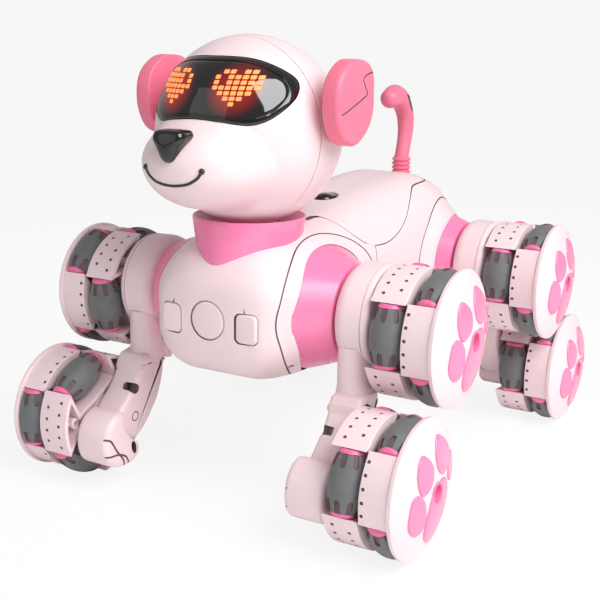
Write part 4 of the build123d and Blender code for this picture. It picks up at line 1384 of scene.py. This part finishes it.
class ROBOTDOG_OT_face(bpy.types.Operator):
    """Visor with its lit heart eyes, the nose and the smile"""
    bl_idname = "robotdog.face"
    bl_label = "Visor, eyes, nose and smile"

    # One eye from above: lit squares in rows, as seen on the dog's left.
    heart = (".XX.XX.", "X.XXXXX", "X.XXXXX", "XXXXXXX", ".XXXXX.", "..XXX..", "...X...")

    def execute(self, context):
        bm = bmesh.new()
        inner = [(2.6, share, 0.6) for share in (1.0, 0.9, 0.75, 0.6, 0.45, 0.3, 0.15, 0.02)]
        visor_solid(bm, [(0.0, 0.02, -1.4), (0.0, 0.5, -1.4), (0.0, 1, -1.4), (0.0, 1, 0.0), (0.12, 1, 0.3),
                         (0.4, 1, 0.45), (1.3, 1, 0.5), (1.5, 1, 0.25), (1.9, 1, 0.25), (2.1, 1, 0.5)] + inner)
        settle(make_piece("visor_lens", bm, "visor", 40), "head", "visor", "visor")
        self.light_eyes()
        self.nose()
        self.smile()
        return {"FINISHED"}

    def light_eyes(self):
        face = settings().face
        wide, high = face.pixel_width / MM / 2, face.pixel_height / MM / 2
        bm = bmesh.new()
        for side in (1, -1):
            for row, line in enumerate(self.heart):
                for column, lit in enumerate(line):
                    if lit == "X":
                        x = side * (EYE.x + (column - 3) * face.pitch_across / MM)
                        z = EYE.y + (3 - row) * face.pitch_up / MM
                        outline = rounded_box(wide, high, 0.3, 2)
                        slab(bm, outline, 0.3, 0.8,
                             lambda u, v, offset, x=x, z=z: on_skull(x + u, z + v, offset), 0.0, 0.12)
        settle(make_piece("eye_pixels", bm, "pixel"), "head", "visor")

    def nose(self):
        low = cad_box("nose")[0]
        middle_z = 165.6
        outline = smooth_line(((0, -6.7), (2.6, -5.6), (5.4, -0.6), (7.3, 3.0), (6.4, 5.8), (3.4, 6.6), (0, 6.75),
                               (-3.4, 6.6), (-6.4, 5.8), (-7.3, 3.0), (-5.4, -0.6), (-2.6, -5.6)), 5, closed=True)
        bm = bmesh.new()
        rows = []
        for share, back in ((0.98, 10.0), (1.0, 5.2), (1.0, 4.0), (0.985, 3.0), (0.94, 2.0), (0.85, 1.15),
                            (0.7, 0.6), (0.5, 0.25), (0.25, 0.05), (0.02, 0.0)):
            rows.append([Vector((p.x * share, low.y + back, middle_z + p.y * share)) for p in outline])
        skin(bm, rows)
        settle(make_piece("nose_button", bm, "gloss", 60), "head", "gloss_black", "nose")

    def smile(self):
        face = settings().face
        half, radius = face.smile_width / MM / 2, face.smile_line / MM / 2
        shape = ((-1.0, 6.4), (-0.86, 3.5), (-0.52, 0.9), (0.0, 0.0), (0.52, 0.9), (0.86, 3.5), (1.0, 6.4))
        path = []
        for across, up in smooth_line(shape, 8):
            x, z = across * half, 150.0 + up
            depth = 1 - (x / MUZZLE_RADII.x) ** 2 - ((z - MUZZLE.z) / MUZZLE_RADII.z) ** 2
            path.append(Vector((x, MUZZLE.y - MUZZLE_RADII.y * sqrt(depth), z)))
        bm = solid(tube, path, radius, sides=12)
        for end in (path[0], path[-1]):
            ball(bm, end, (radius * 2, radius * 2, radius * 2), 16)
        settle(make_piece("smile", bm, "gloss", 60), "head", "gloss_black")


# ---- Ears and tail --------------------------------------------------------------------------------
EAR_OUTLINE = ((16.5, -3.0), (16.5, 3.0), (16.3, 9.2), (14.0, 14.0), (8.5, 17.0), (-2.0, 17.4), (-9.5, 14.2),
               (-14.4, 9.4), (-16.5, 2.0), (-15.6, -6.5), (-11.2, -14.0), (-5.0, -17.2), (1.5, -17.8),
               (9.0, -14.2), (14.4, -8.6))
EAR_STEM = ((22, 0), (22, 4), (9.0, 4), (8.6, 5.6), (7.0, 5.6), (7.0, 0))
EAR_GROOVE = ((-13.4, -4.5), (-7.0, -2.6), (6.0, 1.9), (8.6, 3.1), (8.2, 4.2), (5.2, 8.4), (4.9, 9.6), (6.0, 10.5),
              (11.0, 11.9), (17.5, 12.4))


class ROBOTDOG_OT_ears(bpy.types.Operator):
    """Two flat ears with a stepped line, each on its pin"""
    bl_idname = "robotdog.ears"
    bl_label = "Ears"

    def execute(self, context):
        line = settings().shells.line_width / MM / 2
        for side, name in ((1, "left"), (-1, "right")):
            low, high = cad_box(f"ear_{name}")
            outer = max(abs(low.x), abs(high.x))
            pin = AXES[f"ear_{name}_swing"]
            bm = solid(slab, smooth_line(EAR_OUTLINE, 5, closed=True), outer - 8.0, outer,
                       lambda y, z, x: Vector((side * x, pin.y + y, pin.z + z)), 0.8, 2.4)
            ear = make_piece(f"ear_flap_{name}", bm, "ear")
            groove = bmesh.new()
            path = [Vector((side * (outer + 0.05), pin.y + y, pin.z + z)) for y, z in smooth_line(EAR_GROOVE, 3)]
            tube(groove, path, line, flat_to=Vector((1, 0, 0)))
            carve(ear, groove, "groove")
            profile = [(outer - back, radius) for back, radius in EAR_STEM]
            join_into(ear, solid(turned, profile, along_x(pin.y, pin.z, side), 32))
            settle(ear, f"ear_{name}", "ear", f"ear_{name}")
        return {"FINISHED"}


# The tail's middle line: (y and z from its seat, radius, lean in degrees).
TAIL_SPINE = ((0, 9.5, 4.1, 0), (0.5, 13.0, 4.0, 2), (2.6, 20.0, 4.0, 10), (4.0, 27.0, 4.4, 2),
              (2.6, 35.5, 4.9, -26), (-3.5, 43.0, 5.5, -60), (-11.5, 46.2, 6.0, -88), (-18.0, 44.8, 5.2, -112))
TAIL_SLOT = ((79.6, 178.2), (86.8, 175.9), (92.4, 171.6), (93.0, 166.6), (88.2, 168.2), (82.6, 173.4))


class ROBOTDOG_OT_tail(bpy.types.Operator):
    """Curled tail with a ribbed root and a tapered slot in its bulb"""
    bl_idname = "robotdog.tail"
    bl_label = "Tail"

    def execute(self, context):
        seat = AXES["tail_swing"].copy()
        seat.z = 131.0
        bm = bmesh.new()
        rows = []
        spine = smooth_line(TAIL_SPINE, 6)
        last = spine[-1]
        lean = radians(last[3])
        for k in range(1, 7):
            swell = pi / 2 * k / 6
            reach = last[2] * sin(swell) * 0.9
            spine.append(Vector((last[0] + sin(lean) * reach, last[1] + cos(lean) * reach,
                                 max(last[2] * cos(swell), 0.15), last[3])))
        for y, z, radius, tilt in spine:
            tilt = radians(tilt)
            across = Vector((0, cos(tilt), -sin(tilt)))
            middle = seat + Vector((0, y, z))
            rows.append([middle + radius * (Vector((cos(tau * k / 40), 0, 0)) + across * sin(tau * k / 40))
                         for k in range(40)])
        skin(bm, rows)
        tail = make_piece("curled_tail", bm, "ear", 60)
        slot = smooth_line(TAIL_SLOT, 5, closed=True)
        for side in (1, -1):
            recess = solid(slab, slot, 3.6, 9.0, lambda y, z, x, side=side: Vector((side * x, y, z)))
            carve(tail, recess, "groove", 45)
        root = bmesh.new()
        profile = [(-8.0, 0), (-8.0, 3.5), (0.0, 3.5), (0.0, 5.3), (0.4, 5.7), (1.6, 5.7), (2.0, 5.2)]
        for number in range(4):
            start = 2.6 + number * 2.4
            profile += [(start - 0.35, 4.3), (start, 4.9), (start + 0.35, 5.25), (start + 1.0, 5.25),
                        (start + 1.35, 4.9), (start + 1.7, 4.3)]
        profile += [(12.4, 4.1), (12.4, 0)]
        turned(root, [(seat.z + along, radius) for along, radius in profile], along_z(seat.x, seat.y), 48)
        join_into(tail, root)
        settle(tail, "tail", "ear", "tail")
        return {"FINISHED"}


# ---- Inner parts and stage ------------------------------------------------------------------------
class ROBOTDOG_OT_inner_parts(bpy.types.Operator):
    """Finishes of the parts inside: motors, battery, circuit board and eye display"""
    bl_idname = "robotdog.inner_parts"
    bl_label = "Inner parts"

    def execute(self, context):
        finishes = {"battery_pack": "battery", "circuit_board": "board", "eye_display": "board"}
        for leg in LEGS:
            finishes[f"{leg}_wheel_motors"] = "motor"
        for node, key in finishes.items():
            piece = frame["nodes"][node]
            piece.data.materials.clear()
            piece.data.materials.append(finish(key))
        return {"FINISHED"}


def backdrop_white():
    # Matt white studio paper. It looks white to the camera and keeps the shadow
    # under the dog, because the paper's own shading is mixed in.
    material = bpy.data.materials.new("paper_matt_backdrop")
    material.use_nodes = True
    tree = material.node_tree
    tree.nodes.remove(tree.nodes["Principled BSDF"])
    place = add(tree, "ShaderNodeTexCoord").outputs["Object"]
    fibre = add(tree, "ShaderNodeTexNoise", {"Scale": per_metre(1.2)}, {"Vector": place})
    tone = add(tree, "ShaderNodeValToRGB", links={"Fac": fibre.outputs["Fac"]})
    tone.color_ramp.elements[0].color = linear("#F7F7F7")
    tone.color_ramp.elements[1].color = linear("#FFFFFF")
    paper = add(tree, "ShaderNodeBsdfDiffuse", links={"Color": tone.outputs["Color"]})
    glow = add(tree, "ShaderNodeEmission", {"Color": (1, 1, 1, 1), "Strength": 1.0})
    path = add(tree, "ShaderNodeLightPath")
    share = add(tree, "ShaderNodeMath", {"operation": "MULTIPLY", 1: 0.86}, {0: path.outputs["Is Camera Ray"]})
    mix = add(tree, "ShaderNodeMixShader", links={0: share.outputs[0], 1: paper.outputs[0], 2: glow.outputs[0]})
    tree.links.new(mix.outputs[0], tree.nodes["Material Output"].inputs["Surface"])
    return material


def lamp(name, power, size, place, target):
    light = bpy.data.lights.new(name, "AREA")
    light.energy = power
    light.size = size
    lamp_object = bpy.data.objects.new(name, light)
    bpy.context.scene.collection.objects.link(lamp_object)
    lamp_object.location = place
    lamp_object.rotation_euler = (Vector(target) - Vector(place)).to_track_quat("-Z", "Y").to_euler()


class ROBOTDOG_OT_stage(bpy.types.Operator):
    """Pale floor, soft lamps and the camera"""
    bl_idname = "robotdog.stage"
    bl_label = "Stage"

    def execute(self, context):
        stage = settings().stage
        scene = context.scene
        bm = bmesh.new()
        profile = [(-3.0, 0.0), (1.2, 0.0)] + [(1.2 + 0.8 * sin(a), 0.8 * (1 - cos(a)))
                                               for a in (pi / 2 * k / 12 for k in range(1, 13))] + [(2.0, 3.5)]
        skin(bm, [[Vector((x, y, z)) / MM for y, z in profile] for x in (-3.0, 3.0)], closed=False, ends=False)
        floor = make_piece("backdrop", bm, "shell")
        floor.data.materials.clear()
        floor.data.materials.append(backdrop_white())
        floor.matrix_world = Matrix.Rotation(stage.azimuth, 4, "Z")

        target = Vector((0.0, -0.02535, 0.0818))
        back = Vector((sin(stage.azimuth) * cos(stage.elevation), -cos(stage.azimuth) * cos(stage.elevation),
                       sin(stage.elevation)))
        level = Vector((cos(stage.azimuth), sin(stage.azimuth), 0.0))
        above = back.cross(level)
        right = level * cos(stage.roll) + above * sin(stage.roll)
        up = above * cos(stage.roll) - level * sin(stage.roll)
        camera = bpy.data.objects.new("camera", bpy.data.cameras.new("camera"))
        scene.collection.objects.link(camera)
        camera.data.lens = stage.lens
        camera.data.sensor_width = 36.0
        camera.matrix_world = Matrix.Translation(target + back * stage.distance) @ Matrix(
            (right, up, back)).transposed().to_4x4()
        scene.camera = camera

        lamp("key", stage.key_power, 0.8, (0.75, -0.25, 0.85), (0, 0, 0.1))
        lamp("fill", stage.fill_power, 0.9, (-0.35, -1.0, 0.55), (0, 0, 0.1))
        world = bpy.data.worlds.new("studio")
        scene.world = world
        world.use_nodes = True
        tree = world.node_tree
        path = add(tree, "ShaderNodeLightPath")
        strength = add(tree, "ShaderNodeMapRange", {"To Min": stage.ambient, "To Max": 1.0},
                       {"Value": path.outputs["Is Camera Ray"]})
        background = tree.nodes["Background"]
        background.inputs["Color"].default_value = (1, 1, 1, 1)
        tree.links.new(strength.outputs["Result"], background.inputs["Strength"])
        scene.view_settings.view_transform = "Standard"
        return {"FINISHED"}


class ROBOTDOG_PT_panel(bpy.types.Panel):
    """Buttons and settings in the 3D view's sidebar"""
    bl_idname = "ROBOTDOG_PT_panel"
    bl_label = "Robot Dog"
    bl_space_type = "VIEW_3D"
    bl_region_type = "UI"
    bl_category = "Robot Dog"

    def draw(self, context):
        layout = self.layout
        dog = context.scene.robot_dog
        for operator in STEPS:
            layout.operator(operator.bl_idname)
        for group in (dog.colours, dog.wheels, dog.shells, dog.face, dog.stage):
            box = layout.box()
            for name in group.bl_rna.properties.keys():
                if name not in ("rna_type", "name"):
                    box.prop(group, name)


STEPS = (
    ROBOTDOG_OT_stage, ROBOTDOG_OT_wheels, ROBOTDOG_OT_legs, ROBOTDOG_OT_body, ROBOTDOG_OT_sleeves,
    ROBOTDOG_OT_collar, ROBOTDOG_OT_keys, ROBOTDOG_OT_battery_door, ROBOTDOG_OT_head, ROBOTDOG_OT_face,
    ROBOTDOG_OT_ears, ROBOTDOG_OT_tail, ROBOTDOG_OT_inner_parts,
)
CLASSES = (DogColours, WheelSizes, ShellSizes, FaceSizes, StageSettings, RobotDog) + STEPS + (ROBOTDOG_PT_panel,)


def register():
    for cls in CLASSES:
        bpy.utils.register_class(cls)
    bpy.types.Scene.robot_dog = PointerProperty(type=RobotDog)


def unregister():
    del bpy.types.Scene.robot_dog
    for cls in reversed(CLASSES):
        bpy.utils.unregister_class(cls)


def main():
    register()
    bpy.ops.robotdog.stage()
    bpy.ops.robotdog.wheels()
    bpy.ops.robotdog.legs()
    bpy.ops.robotdog.body()
    bpy.ops.robotdog.sleeves()
    bpy.ops.robotdog.collar()
    bpy.ops.robotdog.keys()
    bpy.ops.robotdog.battery_door()
    bpy.ops.robotdog.head()
    bpy.ops.robotdog.face()
    bpy.ops.robotdog.ears()
    bpy.ops.robotdog.tail()
    bpy.ops.robotdog.inner_parts()


if __name__ == "__main__":
    main()
